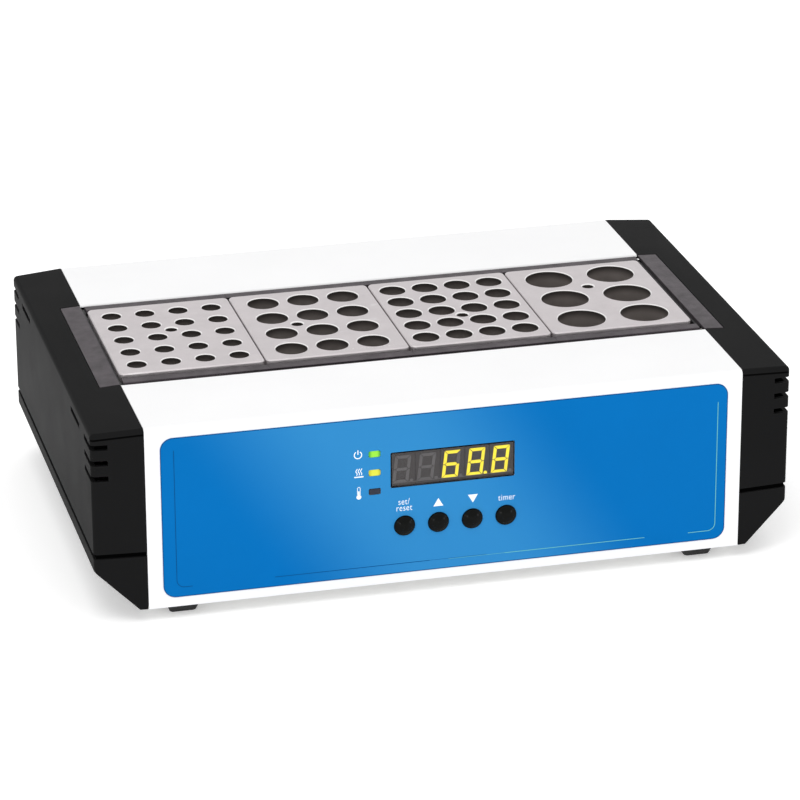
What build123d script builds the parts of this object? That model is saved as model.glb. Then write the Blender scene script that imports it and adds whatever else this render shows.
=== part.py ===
from build123d import *
from math import sqrt
import os

# A four-block digital dry block heater, built as it comes apart on a bench.
# Millimetres. The origin is on the bench under the middle of the case: +X right, +Y back, +Z up.

# ---------------------------------------------------------------- blocks and their wells
BLOCK_WIDTH = 76.3
BLOCK_DEPTH = 96.8
BLOCK_HEIGHT = 50.0
BLOCK_GAP = 0.7          # between neighbouring blocks
ROW_SHIFT = -0.9         # the row of blocks stands a little to the left in its well
BLOCK_CORNER = 3.0       # vertical corner radius
BLOCK_BREAK = 0.6        # chamfer on the top and bottom edges
BLOCK_PROUD = 1.2        # block tops above the top of the case
WELL_DEPTH = 45.0
WELL_RIM = 0.45          # chamfer at a well's mouth
POCKET_BORE = 6.2        # thermometer pocket
POCKET_DEPTH = 35.0
POCKET_RIM = 0.6

# name: columns, rows, column pitch, row pitch, well bore, pocket place in half pitches (x, y)
WELLS = {
    "block_narrow": (4, 5, 18.0, 18.0, 10.2, (0, 1)),
    "block_wide": (3, 4, 21.9, 22.9, 16.8, (-1, 0)),
    "block_medium": (4, 5, 18.0, 18.0, 14.0, (0, -1)),
    "block_large": (2, 3, 34.8, 30.9, 25.5, (0, 1)),
}

# ---------------------------------------------------------------- case
CASE_WIDTH = 312.4       # between the seams of the two end caps
CASE_DEPTH = 243.0
CASE_HEIGHT = 98.0
FOOT_HEIGHT = 7.0
SHEET = 1.2              # steel sheet of the covers and the pan
TOP_BEND = 2.5           # outside radius of the top front and top rear bends
LIP_BEND = 1.6
LIP_DROP = 8.0           # lip turned down along the opening
OPENING_DEPTH = 118.0    # front to back, between the two covers
FIT_GAP = 0.2            # beside a piece that sits in a cut-out

# ---------------------------------------------------------------- end caps
CAP_WIDTH = 26.5
CAP_SEAM = 0.3
CAP_DRAFT = 2.2          # the front and rear faces close in by this over the width
CAP_DROP = 1.5           # the top falls by this over the width
CAP_WALL = 2.5
CAP_CORNER = 2.4         # upright outer corners and the outer rim
CAP_UNDERCUT = 22.4      # rise and run of the 45 degree facet under each cap
GROOVE_Z = 37.5
GROOVE_HEIGHT = 2.6
GROOVE_DEPTH = 1.3
TONGUE_HEIGHT = 2.4      # tongue of the lower moulding inside the upper one
TONGUE_PLAY = 0.1
SLOT_COUNT = 3
SLOT_TOP_Z = 96.6
SLOT_STEP = 8.4
SLOT_HEIGHT = 2.9
SLOT_FACE_REACH = 8.7    # along the front or rear face, from the outer corner
SLOT_SIDE_REACH = 20.0   # along the side face
SIDE_SLOT_START = 33.0   # the short single slot in the side face
SIDE_SLOT_LENGTH = 25.0
CAP_BOSS = 4.0           # radius
CAP_BOSS_Y = 90.0
CAP_BOSS_Z = (22.0, 86.0)
CAP_SCREW = 1.6          # radius
CAP_PILOT = 1.3
CAP_SCREW_BITE = 9.0
CAP_SCREW_HEAD = (3.0, 2.2)   # radius, height

# ---------------------------------------------------------------- trim round the blocks
RAIL_WIDTH = 6.7
RAIL_COVER_GAP = 1.8     # shadow gap between rail and cover
RAIL_THICKNESS = 1.8
RAIL_SCORE = 0.35        # shallow score across a rail at each block joint
END_PLATE_WIDTH = 10.4
END_PLATE_GAP = 0.45

# ---------------------------------------------------------------- well liner and heater
LINER_SHEET = 0.8
LINER_SIDE_CLEARANCE = 1.35    # between the outer blocks and the liner's end walls
LINER_FRONT_CLEARANCE = 2.1
LINER_FLOOR_DROP = 26.0        # liner floor below the bottom of the blocks
LINER_FLANGE = 6.0
PLATE_THICKNESS = 10.0
PLATE_MARGIN = 0.6             # heater plate inside the liner, each side
MAT_THICKNESS = 2.0
MAT_MARGIN = 4.0
PILLAR_RADIUS = 4.0
PILLAR_INSET = (23.0, 12.5)    # in from the liner's walls, x and y
INSULATION_PLAY = 0.5
SIDE_INSULATION = 4.5
THERMOSTAT_RADIUS = 8.0
THERMOSTAT_HEIGHT = 9.0
THERMOSTAT_X = 20.0
PROBE_RADIUS = 2.0
PROBE_LENGTH = 42.0
PROBE_X = -38.5
PROBE_PLAY = 0.15
LEAD_HOLE = 4.0                # radius of the grommet hole in the liner floor
LEAD_HOLE_X = -70.0
LEAD_HOLE_Y = 30.0
BRACKET_X = 110.0
BRACKET_WIDTH = 18.0
BRACKET_REACH = 12.0

# ---------------------------------------------------------------- front panel
LABEL_WIDTH = 297.0
LABEL_HEIGHT = 86.9
LABEL_CORNER = 6.5
LABEL_THICKNESS = 0.3
LABEL_Z = 55.65
LENS_WIDTH = 64.8
LENS_HEIGHT = 19.1
LENS_CENTRE = (2.2, 69.5)      # x, z
LENS_CORNER = 0.8
LENS_FLANGE = (2.0, 1.0)       # reach, thickness
DIGIT_COUNT = 5
DIGIT_PITCH = 12.95
DIGIT_SIZE = (12.6, 19.0, 8.0)   # width, height, depth
LAMP_X = -38.7
LAMP_Z = (79.4, 69.2, 58.9)
LAMP_SIZE = (5.9, 3.1)
LAMP_PROUD = 0.4
LAMP_PIPE = 1.2                # radius
LED_RADIUS = 1.5
LED_HEIGHT = 3.2
BUTTON_Z = 38.4
BUTTON_FIRST_X = -23.2
BUTTON_PITCH = 17.85
BUTTON_NAMES = ("set_button", "up_button", "down_button", "timer_button")
BUTTON_RADIUS = 5.3
BUTTON_PROUD = 2.7             # dome top in front of the cover
BUTTON_DOME = 2.0              # radius of the domed edge
BUTTON_PLAY = 0.3
BUTTON_FLANGE = (1.3, 1.0)     # reach past the button, thickness
BUTTON_STEM = 1.6
BUTTON_TRAVEL = 0.8
TACT_SIZE = (6.0, 4.2)         # side, height
TACT_ENTRY = 0.6               # the stem's tip inside the switch at rest
BOARD_THICKNESS = 1.6
DISPLAY_BOARD = (104.0, 60.0)  # width, height
DISPLAY_BOARD_CENTRE = (-3.0, 59.0)
STANDOFF_RADIUS = 2.6
STANDOFF_INSET = 4.0
NUT_SIZE = (3.0, 2.4)          # radius across corners, height
PANEL_SCREW_X = 128.0
PANEL_SCREW_Z = 14.6
PANEL_SCREW = 1.5
PANEL_SCREW_HEAD = (2.8, 1.2)

# ---------------------------------------------------------------- rear panel
INLET_CENTRE = (104.0, 58.0)   # x, z
INLET_FLANGE = (50.0, 31.0, 2.0)
INLET_BODY = (28.0, 28.0, 26.0)
INLET_CORNER = 3.0
SOCKET_SIZE = (24.4, 16.8, 15.0)
SOCKET_RISE = 4.4              # socket centre above the inlet's centre
SOCKET_CORNER = 3.5
PIN_SIZE = (2.0, 4.0, 12.0)
PIN_SPREAD = 7.0
PIN_EARTH_DROP = 4.0
DRAWER_SIZE = (20.0, 7.0, 25.5)
DRAWER_DROP = 9.0
DRAWER_PLAY = 0.35
DRAWER_WALL = 0.9
FUSE_SIZE = (2.5, 20.0)        # radius, length
FUSE_SPREAD = 4.5
INLET_SCREW_SPREAD = 40.0
SWITCH_CENTRE = (52.0, 58.0)
SWITCH_BEZEL = (15.0, 21.0, 1.2)
SWITCH_BODY = (12.6, 18.6, 15.0)
SWITCH_WINDOW = (10.4, 16.0)
ROCKER_PLAY = 0.35
ROCKER_TILT = 8.0              # degrees either side of middle
ROCKER_DEPTH = 5.0
ROCKER_PIN = 1.0
ROCKER_PIN_PLAY = 0.06
VENT_COUNT = 12
VENT_PITCH = 9.0
VENT_SIZE = (3.2, 34.0)
VENT_CORNER = 1.5
VENT_CENTRE = (-72.0, 52.0)

# ---------------------------------------------------------------- pan, feet and inside
PAN_FLANGE = 13.0
PAN_CLEARANCE = 0.2
FOOT_X = 137.0
FOOT_Y = 107.0
FOOT_TOP = (19.0, 17.0)        # side to side, front to back
FOOT_BOTTOM = (13.6, 12.0)
FOOT_CORNER = 2.0
FOOT_RECESS = (4.2, 3.2)       # radius, depth of the screw's recess
FOOT_SCREW = 2.0
FOOT_SCREW_HEAD = (3.6, 2.2)
SIDE_PLATE_X = 152.4
SIDE_PLATE_MARGIN = 1.5
POWER_BOARD = (168.0, 44.0)
POWER_BOARD_CENTRE = (-44.0, 90.0)
POWER_BOARD_LIFT = 8.0
TRANSFORMER_CORE = (42.0, 34.0, 30.0)
TRANSFORMER_X = -94.0
HEATSINK = (44.0, 12.0, 34.0)
HEATSINK_X = -20.0
HEATSINK_FINS = 5
TRIAC = (10.0, 4.5, 15.0)
CAPACITOR = (4.0, 16.0)        # radius, height
CAPACITOR_STEP = 11.5
CAPACITOR_ROUND = 0.8
TERMINAL_BLOCK = (10.0, 26.0, 12.0)
TERMINAL_COUNT = 4
TERMINAL_PITCH = 6.0
TERMINAL_SCREW_HOLE = (1.9, 3.0)   # radius, depth
TERMINAL_ENTRY = 4.0           # height of the wire entries
RIBBON = (22.0, 1.0)
RIBBON_BEND = 2.0
WIRE = 1.1                     # radius of a single insulated lead
WIRE_BEND = 4.0
WIRE_STEP = 6.0                # between leads that run side by side

# ---------------------------------------------------------------- places worked out from the sizes
CASE_TOP = FOOT_HEIGHT + CASE_HEIGHT
CASE_FRONT = -CASE_DEPTH / 2
CASE_SIDE = CASE_WIDTH / 2
COVER_INSIDE = CASE_FRONT + SHEET
OPENING_FRONT = -OPENING_DEPTH / 2
CAP_SEAM_X = CASE_SIDE + CAP_SEAM
CAP_OUTER_X = CAP_SEAM_X + CAP_WIDTH
BLOCK_PITCH = BLOCK_WIDTH + BLOCK_GAP
BLOCK_TOP = CASE_TOP + BLOCK_PROUD
BLOCK_BOTTOM = BLOCK_TOP - BLOCK_HEIGHT
BLOCK_ROW_HALF = 1.5 * BLOCK_PITCH + BLOCK_WIDTH / 2
LINER_X = BLOCK_ROW_HALF + LINER_SIDE_CLEARANCE
LINER_Y = BLOCK_DEPTH / 2 + LINER_FRONT_CLEARANCE
LINER_FLOOR = BLOCK_BOTTOM - LINER_FLOOR_DROP
PILLAR_X = LINER_X - PILLAR_INSET[0]
PILLAR_Y = LINER_Y - PILLAR_INSET[1]
RAIL_BOTTOM = CASE_TOP - RAIL_THICKNESS
RAIL_FRONT = OPENING_FRONT + RAIL_COVER_GAP
PLATE_BOTTOM = BLOCK_BOTTOM - PLATE_THICKNESS
PAN_TOP = FOOT_HEIGHT + SHEET
BOARD_FRONT = COVER_INSIDE + LENS_FLANGE[1] + DIGIT_SIZE[2] + FIT_GAP
POWER_BOARD_Z = PAN_TOP + POWER_BOARD_LIFT
POWER_BOARD_TOP = POWER_BOARD_Z + BOARD_THICKNESS
POWER_BOARD_Y = POWER_BOARD_CENTRE[1]
TERMINAL_X = POWER_BOARD_CENTRE[0] + POWER_BOARD[0] / 2 - 4 * STANDOFF_INSET
TERMINAL_FACE = TERMINAL_X + TERMINAL_BLOCK[0] / 2
TACT_SOCKET_DEPTH = TACT_ENTRY + BUTTON_TRAVEL + 2 * BUTTON_PLAY
INLET_BACK = -CASE_FRONT - INLET_BODY[2] - PIN_SIZE[2] / 2
REAR_INSIDE = -COVER_INSIDE
BEYOND = 60.0                  # how far a cutting tool runs past the piece it cuts


def slab(x, y, z):
    """A box from three (low, high) pairs."""
    centre = Pos((x[0] + x[1]) / 2, (y[0] + y[1]) / 2, (z[0] + z[1]) / 2)
    return centre * Box(x[1] - x[0], y[1] - y[0], z[1] - z[0])


def about(centre, size):
    """The (low, high) pair of a length laid evenly about a centre."""
    return (centre - size / 2, centre + size / 2)


def rod_z(x, y, z, radius):
    """A vertical cylinder between two heights."""
    return Pos(x, y, (z[0] + z[1]) / 2) * Cylinder(radius, z[1] - z[0])


def rod_y(x, y, z, radius):
    """A cylinder along Y between two depths."""
    return Pos(x, (y[0] + y[1]) / 2, z) * Rot(90, 0, 0) * Cylinder(radius, y[1] - y[0])


def rod_x(x, y, z, radius):
    """A cylinder along X between two places."""
    return Pos((x[0] + x[1]) / 2, y, z) * Rot(0, 90, 0) * Cylinder(radius, x[1] - x[0])


def hex_nut(place, radius, height, hole):
    """A hexagon nut with its axis along the place's own Z, standing on it."""
    nut = extrude(RegularPolygon(radius, 6) - Circle(hole), height)
    return place * nut


def panel_plug(centre, size, corner, y):
    """A rounded rectangle in the panel's plane, carried between two depths."""
    outline = Pos(centre[0], centre[1]) * RectangleRounded(size[0], size[1], corner)
    face = Plane(origin=(0, y[1], 0), x_dir=(1, 0, 0), z_dir=(0, -1, 0)) * outline
    return extrude(face, y[1] - y[0])


def folded_sheet(points, radii, thickness, x):
    """A sheet folded along a path of (y, z) points, thickened to the path's right."""
    with BuildPart() as sheet:
        with BuildSketch(Plane.YZ.offset(x[0])):
            with BuildLine():
                FilletPolyline(*points, radius=radii)
                offset(amount=thickness, side=Side.RIGHT)
            make_face()
        extrude(amount=x[1] - x[0])
    return sheet.part


def both_sides(piece):
    """A piece and its mirror image across the middle of the case."""
    return piece + mirror(piece, about=Plane.YZ)


def button_x(index):
    """Where a button stands along the panel."""
    return BUTTON_FIRST_X + index * BUTTON_PITCH


# ---------------------------------------------------------------- blocks
def block(name, index):
    """One aluminium block: rounded corners, broken edges, a grid of blind wells and one pocket."""
    columns, rows, pitch_x, pitch_y, bore, pocket = WELLS[name]
    middle = (index - 1.5) * BLOCK_PITCH + ROW_SHIFT
    body = slab(about(middle, BLOCK_WIDTH), about(0, BLOCK_DEPTH), (BLOCK_BOTTOM, BLOCK_TOP))
    body = fillet(body.edges().filter_by(Axis.Z), BLOCK_CORNER)
    rims = body.edges().group_by(Axis.Z)[-1] + body.edges().group_by(Axis.Z)[0]
    body = chamfer(rims, BLOCK_BREAK)
    tools = []
    for column in range(columns):
        for row in range(rows):
            x = middle + (column - (columns - 1) / 2) * pitch_x
            y = (row - (rows - 1) / 2) * pitch_y
            tools.append(well_tool(x, y, bore / 2, WELL_DEPTH, WELL_RIM))
    pocket_x = middle + pocket[0] * pitch_x / 2
    pocket_y = pocket[1] * pitch_y / 2
    tools.append(well_tool(pocket_x, pocket_y, POCKET_BORE / 2, POCKET_DEPTH, POCKET_RIM))
    return body - tools


def well_tool(x, y, radius, depth, rim):
    """What one well takes out: a flat-bottomed bore with a chamfered mouth, turned in one piece."""
    outline = Polyline(
        (0, 0, -depth),
        (radius, 0, -depth),
        (radius, 0, -rim),
        (radius + 2 * rim, 0, rim),
        (0, 0, rim),
        (0, 0, -depth),
    )
    return Pos(x, y, BLOCK_TOP) * revolve(make_face(outline), Axis.Z)


# ---------------------------------------------------------------- covers
def front_cover():
    """White front cover: the panel, the front strip of the top and the lip along the opening."""
    path = [
        (CASE_FRONT, FOOT_HEIGHT),
        (CASE_FRONT, CASE_TOP),
        (OPENING_FRONT, CASE_TOP),
        (OPENING_FRONT, CASE_TOP - LIP_DROP),
    ]
    cover = folded_sheet(path, [TOP_BEND, LIP_BEND], SHEET, (-CASE_SIDE, CASE_SIDE))
    through = (CASE_FRONT - BEYOND, COVER_INSIDE + SHEET)
    grown = (LENS_WIDTH + 2 * FIT_GAP, LENS_HEIGHT + 2 * FIT_GAP)
    cover -= panel_plug(LENS_CENTRE, grown, LENS_CORNER, through)
    for z in LAMP_Z:
        size = (LAMP_SIZE[0] + 2 * FIT_GAP, LAMP_SIZE[1] + 2 * FIT_GAP)
        cover -= panel_plug((LAMP_X, z), size, LENS_CORNER, through)
    for index in range(len(BUTTON_NAMES)):
        cover -= rod_y(button_x(index), through, BUTTON_Z, BUTTON_RADIUS + BUTTON_PLAY)
    for x in (-PANEL_SCREW_X, PANEL_SCREW_X):
        cover -= rod_y(x, through, PANEL_SCREW_Z, PANEL_SCREW)
        cover -= countersink(x, PANEL_SCREW_Z, CASE_FRONT)
    return cover


def countersink(x, z, face):
    """The cone that a flat screw head sinks into, on the front panel."""
    radius, depth = PANEL_SCREW_HEAD
    cone = Cone(PANEL_SCREW, radius, depth)
    return Pos(x, face + depth / 2, z) * Rot(90, 0, 0) * cone


def rear_cover():
    """White rear cover: the back panel with vents, inlet and switch cut-outs, and its top strip."""
    path = [
        (-OPENING_FRONT, CASE_TOP - LIP_DROP),
        (-OPENING_FRONT, CASE_TOP),
        (-CASE_FRONT, CASE_TOP),
        (-CASE_FRONT, FOOT_HEIGHT),
    ]
    cover = folded_sheet(path, [LIP_BEND, TOP_BEND], SHEET, (-CASE_SIDE, CASE_SIDE))
    through = (REAR_INSIDE - SHEET, REAR_INSIDE + BEYOND)
    inlet = (INLET_BODY[0] + 2 * FIT_GAP, INLET_BODY[1] + 2 * FIT_GAP)
    cover -= panel_plug(INLET_CENTRE, inlet, INLET_CORNER, through)
    switch = (SWITCH_BODY[0] + 2 * FIT_GAP, SWITCH_BODY[1] + 2 * FIT_GAP)
    cover -= panel_plug(SWITCH_CENTRE, switch, LENS_CORNER, through)
    for side in (-1, 1):
        x = INLET_CENTRE[0] + side * INLET_SCREW_SPREAD / 2
        cover -= rod_y(x, through, INLET_CENTRE[1], PANEL_SCREW)
        cover -= rod_y(side * PANEL_SCREW_X, through, PANEL_SCREW_Z, PANEL_SCREW)
        cover -= mirror(countersink(side * PANEL_SCREW_X, PANEL_SCREW_Z, CASE_FRONT), about=Plane.XZ)
    for index in range(VENT_COUNT):
        x = VENT_CENTRE[0] + (index - (VENT_COUNT - 1) / 2) * VENT_PITCH
        cover -= panel_plug((x, VENT_CENTRE[1]), VENT_SIZE, VENT_CORNER, through)
    return cover


def base_pan():
    """Steel pan that closes the underside, with upturned flanges, foot holes and two rows of vents."""
    edge = COVER_INSIDE + PAN_CLEARANCE
    path = [
        (-edge, FOOT_HEIGHT + PAN_FLANGE),
        (-edge, FOOT_HEIGHT),
        (edge, FOOT_HEIGHT),
        (edge, FOOT_HEIGHT + PAN_FLANGE),
    ]
    reach = CASE_SIDE - PAN_CLEARANCE
    pan = folded_sheet(path, [LIP_BEND, LIP_BEND], SHEET, (-reach, reach))
    for x in (-PANEL_SCREW_X, PANEL_SCREW_X):
        pan -= rod_y(x, (-BEYOND * 3, BEYOND * 3), PANEL_SCREW_Z, PANEL_SCREW)
    through = (0, PAN_TOP + SHEET)
    for x in (-FOOT_X, FOOT_X):
        for y in (-FOOT_Y, FOOT_Y):
            pan -= rod_z(x, y, through, FOOT_SCREW)
    for index in range(VENT_COUNT):
        x = (index - (VENT_COUNT - 1) / 2) * 2 * VENT_PITCH
        for y in (-FOOT_Y + VENT_SIZE[1] / 2, 0):
            pan -= slab(about(x, VENT_SIZE[0]), about(y, VENT_SIZE[1]), through)
    return pan


# ---------------------------------------------------------------- end caps
def cap_form(inset, seam=CAP_SEAM_X):
    """The right cap's outer form, drafted and undercut, drawn in by an inset from every face."""
    outer = CAP_OUTER_X - inset
    front = CASE_DEPTH / 2 - inset
    low, high = FOOT_HEIGHT + inset, CASE_TOP - inset
    fall = CAP_DROP * (outer - seam) / CAP_WIDTH
    pull = CAP_DRAFT * (outer - seam) / CAP_WIDTH
    shift = (seam - CAP_SEAM_X) / CAP_WIDTH
    front, high = front - CAP_DRAFT * shift, high - CAP_DROP * shift
    inner_face = cap_section(seam, front, low, high)
    outer_face = cap_section(outer, front - pull, low, high - fall)
    form = loft([inner_face, outer_face])
    corner = CAP_OUTER_X - CAP_UNDERCUT - FOOT_HEIGHT - inset * sqrt(2)
    wedge = Polyline(
        (corner - BEYOND, -BEYOND),
        (corner + BEYOND, BEYOND),
        (corner + BEYOND, -BEYOND),
        (corner - BEYOND, -BEYOND),
    )
    tool = extrude(Plane.XZ * make_face(wedge), CASE_DEPTH, both=True)
    return form - tool


def cap_section(x, front, low, high):
    """A rectangle across the case at one place along it."""
    outline = Pos(0, (low + high) / 2) * Rectangle(2 * front, high - low)
    return Plane(origin=(x, 0, 0), x_dir=(0, 1, 0), z_dir=(1, 0, 0)) * outline


def cap_skin():
    """The cap's outside, rounded along the bend lines, the outer corners and the outer rim."""
    form = cap_form(0)
    along = [e for e in form.edges() if is_along_x(e) and e.center().Z > GROOVE_Z]
    form = fillet(along, TOP_BEND)
    outer = [e for e in form.edges() if abs(e.center().X - CAP_OUTER_X) < CAP_WALL]
    rounded = [e for e in outer if is_upright(e) or e.center().Z > CASE_TOP - 2 * TOP_BEND]
    return fillet(rounded, CAP_CORNER)


def is_along_x(edge):
    """Whether a straight edge runs mainly along X and not down the undercut."""
    run = edge.position_at(1) - edge.position_at(0)
    return abs(run.X) > CAP_WIDTH * 0.9 and abs(run.Z) < 2 * CAP_DROP


def is_upright(edge):
    """Whether a straight edge runs mainly along Z."""
    run = edge.position_at(1) - edge.position_at(0)
    return abs(run.Z) > CAP_UNDERCUT and abs(run.Y) < CAP_DRAFT


def cap_shell():
    """The cap's skin emptied to its wall thickness and open towards the case."""
    return cap_skin() - cap_form(CAP_WALL, CAP_SEAM_X - CAP_WALL)


def cap_boss(y, z):
    """A screw boss that runs from the side plate to the cap's outer wall."""
    start = SIDE_PLATE_X + SHEET
    return rod_x((start, CAP_OUTER_X), y, z, CAP_BOSS) & (
        cap_form(CAP_WALL / 2, start)
    )


def cap_pilots():
    """The pilot holes in a cap's four bosses."""
    start = SIDE_PLATE_X + SHEET
    run = (start - CAP_WALL, start + CAP_SCREW_BITE + CAP_WALL)
    places = [(y, z) for y in (-CAP_BOSS_Y, CAP_BOSS_Y) for z in CAP_BOSS_Z]
    return [rod_x(run, y, z, CAP_PILOT) for y, z in places]


def cap_slots():
    """The wrap-round vent slots at both upright corners and the short slots in the side."""
    tools = []
    for index in range(SLOT_COUNT):
        z = about(SLOT_TOP_Z - index * SLOT_STEP, SLOT_HEIGHT)
        x = (CAP_OUTER_X - SLOT_FACE_REACH, CAP_OUTER_X + BEYOND)
        end = CASE_DEPTH / 2 - SLOT_SIDE_REACH
        tools.append(slab(x, (end, end + BEYOND), z))
        tools.append(slab(x, (-end - BEYOND, -end), z))
    z = about(SLOT_TOP_Z, SLOT_HEIGHT)
    x = (CAP_OUTER_X - 2 * CAP_WALL, CAP_OUTER_X + BEYOND)
    start = CASE_DEPTH / 2 - SIDE_SLOT_START
    tools.append(slab(x, (start - SIDE_SLOT_LENGTH, start), z))
    tools.append(slab(x, (-start, -start + SIDE_SLOT_LENGTH), z))
    return tools


def end_plate_notch():
    """The notch in the cap's top that the end plate drops into."""
    x = (CAP_SEAM_X - CAP_WALL, CAP_SEAM_X + END_PLATE_WIDTH + END_PLATE_GAP)
    return slab(x, about(0, OPENING_DEPTH + 2 * END_PLATE_GAP), (CASE_TOP - 2 * TOP_BEND, CASE_TOP + BEYOND))


def above(z):
    """Everything above a height, as a cutting block."""
    reach = (-CAP_OUTER_X - BEYOND, CAP_OUTER_X + BEYOND)
    return slab(reach, reach, (z, z + 2 * BEYOND))


def between(low, high):
    """Everything between two heights, as a cutting block."""
    reach = (-CAP_OUTER_X - BEYOND, CAP_OUTER_X + BEYOND)
    return slab(reach, reach, (low, high))


def cap_upper(shell):
    """Upper moulding of the right cap, from the groove to the top."""
    edge = GROOVE_Z + GROOVE_HEIGHT / 2
    seat = cap_form(GROOVE_DEPTH - TONGUE_PLAY, CAP_SEAM_X - CAP_WALL)
    upper = shell & above(edge)
    upper -= seat & between(edge - 1, edge + TONGUE_HEIGHT + TONGUE_PLAY)
    for y in (-CAP_BOSS_Y, CAP_BOSS_Y):
        upper += cap_boss(y, CAP_BOSS_Z[1])
    return upper - cap_slots() - end_plate_notch() - cap_pilots()


def cap_lower(shell):
    """Lower moulding of the right cap: the undercut foot, with a tongue that seats in the upper one."""
    edge = GROOVE_Z - GROOVE_HEIGHT / 2
    lower = shell & between(0, edge)
    tongue = cap_form(GROOVE_DEPTH) - cap_form(CAP_WALL, CAP_SEAM_X - CAP_WALL)
    lower += tongue & between(edge - 1, edge + GROOVE_HEIGHT + TONGUE_HEIGHT)
    for y in (-CAP_BOSS_Y, CAP_BOSS_Y):
        lower += cap_boss(y, CAP_BOSS_Z[0])
    return lower - cap_pilots()


def side_plate():
    """Right steel side plate: joins pan, covers and cap, notched for the well liner."""
    margin = SHEET + SIDE_PLATE_MARGIN
    depth = CASE_DEPTH / 2 - margin - SHEET
    plate = slab(
        (SIDE_PLATE_X, SIDE_PLATE_X + SHEET), (-depth, depth), (PAN_TOP, CASE_TOP - margin)
    )
    plate = plate - slab(
        about(SIDE_PLATE_X, BEYOND), about(0, OPENING_DEPTH + 2 * margin), (LINER_FLOOR - margin, CASE_TOP)
    )
    for y in (-CAP_BOSS_Y, CAP_BOSS_Y):
        for z in CAP_BOSS_Z:
            plate -= rod_x(about(SIDE_PLATE_X, BEYOND), y, z, CAP_SCREW + FIT_GAP)
    return plate


def frame_screws():
    """Screws that hold the caps to the side plates and the heater plate to the liner."""
    screws = []
    radius, height = CAP_SCREW_HEAD
    for y in (-CAP_BOSS_Y, CAP_BOSS_Y):
        for z in CAP_BOSS_Z:
            shank = (SIDE_PLATE_X, SIDE_PLATE_X + SHEET + CAP_SCREW_BITE)
            screw = rod_x(shank, y, z, CAP_PILOT)
            screw += rod_x((SIDE_PLATE_X - height, SIDE_PLATE_X), y, z, radius)
            screws += [screw, mirror(screw, about=Plane.YZ)]
    for x in (-PILLAR_X, PILLAR_X):
        for y in (-PILLAR_Y, PILLAR_Y):
            shank = rod_z(x, y, (LINER_FLOOR, PLATE_BOTTOM + PLATE_THICKNESS / 3), CAP_PILOT)
            screws.append(shank + rod_z(x, y, (LINER_FLOOR - height, LINER_FLOOR), radius))
    return Compound(children=screws)


# ---------------------------------------------------------------- trim round the blocks
def rail():
    """Front trim rail, scored across at each joint between blocks."""
    reach = BLOCK_ROW_HALF + LINER_SIDE_CLEARANCE / 2
    piece = slab(
        (-reach, reach), (RAIL_FRONT, RAIL_FRONT + RAIL_WIDTH), (RAIL_BOTTOM, CASE_TOP)
    )
    piece = chamfer(piece.edges().group_by(Axis.Z)[-1].filter_by(Axis.X), RAIL_SCORE)
    for index in (-1, 0, 1):
        groove = Pos(index * BLOCK_PITCH + ROW_SHIFT, RAIL_FRONT, CASE_TOP) * Rot(0, 45, 0)
        piece -= groove * Box(RAIL_SCORE, 4 * RAIL_WIDTH, RAIL_SCORE)
    return piece


def end_plate():
    """Right end plate: lies in the cap's notch and follows the fall of its top."""
    x = (CAP_SEAM_X, CAP_SEAM_X + END_PLATE_WIDTH)
    block_out = slab(x, about(0, OPENING_DEPTH - END_PLATE_GAP), (RAIL_BOTTOM, CASE_TOP + 1))
    return block_out & cap_form(0, SIDE_PLATE_X)


# ---------------------------------------------------------------- well liner and heater
def well_liner():
    """Steel tray that holds the blocks: floor, four walls and flanges under the trim."""
    x, y = LINER_X + LINER_SHEET, LINER_Y + LINER_SHEET
    tray = slab((-x, x), (-y, y), (LINER_FLOOR, RAIL_BOTTOM))
    tray -= slab((-LINER_X, LINER_X), (-LINER_Y, LINER_Y), (LINER_FLOOR + LINER_SHEET, CASE_TOP))
    flange = (RAIL_BOTTOM - LINER_SHEET, RAIL_BOTTOM)
    tray += slab((-x, x), (-y - LINER_FLANGE, y + LINER_FLANGE), flange)
    end = CAP_SEAM_X + END_PLATE_WIDTH - 2 * END_PLATE_GAP
    tray += slab((-end, end), (-y, y), flange)
    tray -= slab((-LINER_X, LINER_X), (-LINER_Y, LINER_Y), (RAIL_BOTTOM - SHEET, CASE_TOP))
    tray -= rod_z(LEAD_HOLE_X, LEAD_HOLE_Y, about(LINER_FLOOR, BEYOND / 3), LEAD_HOLE)
    probe_z = PLATE_BOTTOM + PLATE_THICKNESS / 2
    tray -= rod_y(PROBE_X, (0, LINER_Y + BEYOND), probe_z, PROBE_RADIUS + PROBE_PLAY)
    for px in (-PILLAR_X, PILLAR_X):
        for py in (-PILLAR_Y, PILLAR_Y):
            tray -= rod_z(px, py, about(LINER_FLOOR, 2 * PILLAR_RADIUS), CAP_PILOT)
    return tray


def heater_plate():
    """Aluminium plate under the blocks, drilled for its pillars, the probe and the thermostat."""
    x, y = LINER_X - PLATE_MARGIN, LINER_Y - PLATE_MARGIN
    plate = slab((-x, x), (-y, y), (PLATE_BOTTOM, BLOCK_BOTTOM))
    plate = chamfer(plate.edges().group_by(Axis.Z)[-1], BLOCK_BREAK)
    probe_z = PLATE_BOTTOM + PLATE_THICKNESS / 2
    hole = (y - PROBE_LENGTH, y + BEYOND)
    plate -= rod_y(PROBE_X, hole, probe_z, PROBE_RADIUS + PROBE_PLAY)
    for px in (-PILLAR_X, PILLAR_X):
        for py in (-PILLAR_Y, PILLAR_Y):
            plate -= rod_z(px, py, (PLATE_BOTTOM - 1, PLATE_BOTTOM + PLATE_THICKNESS / 2), CAP_PILOT)
    return plate


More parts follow.
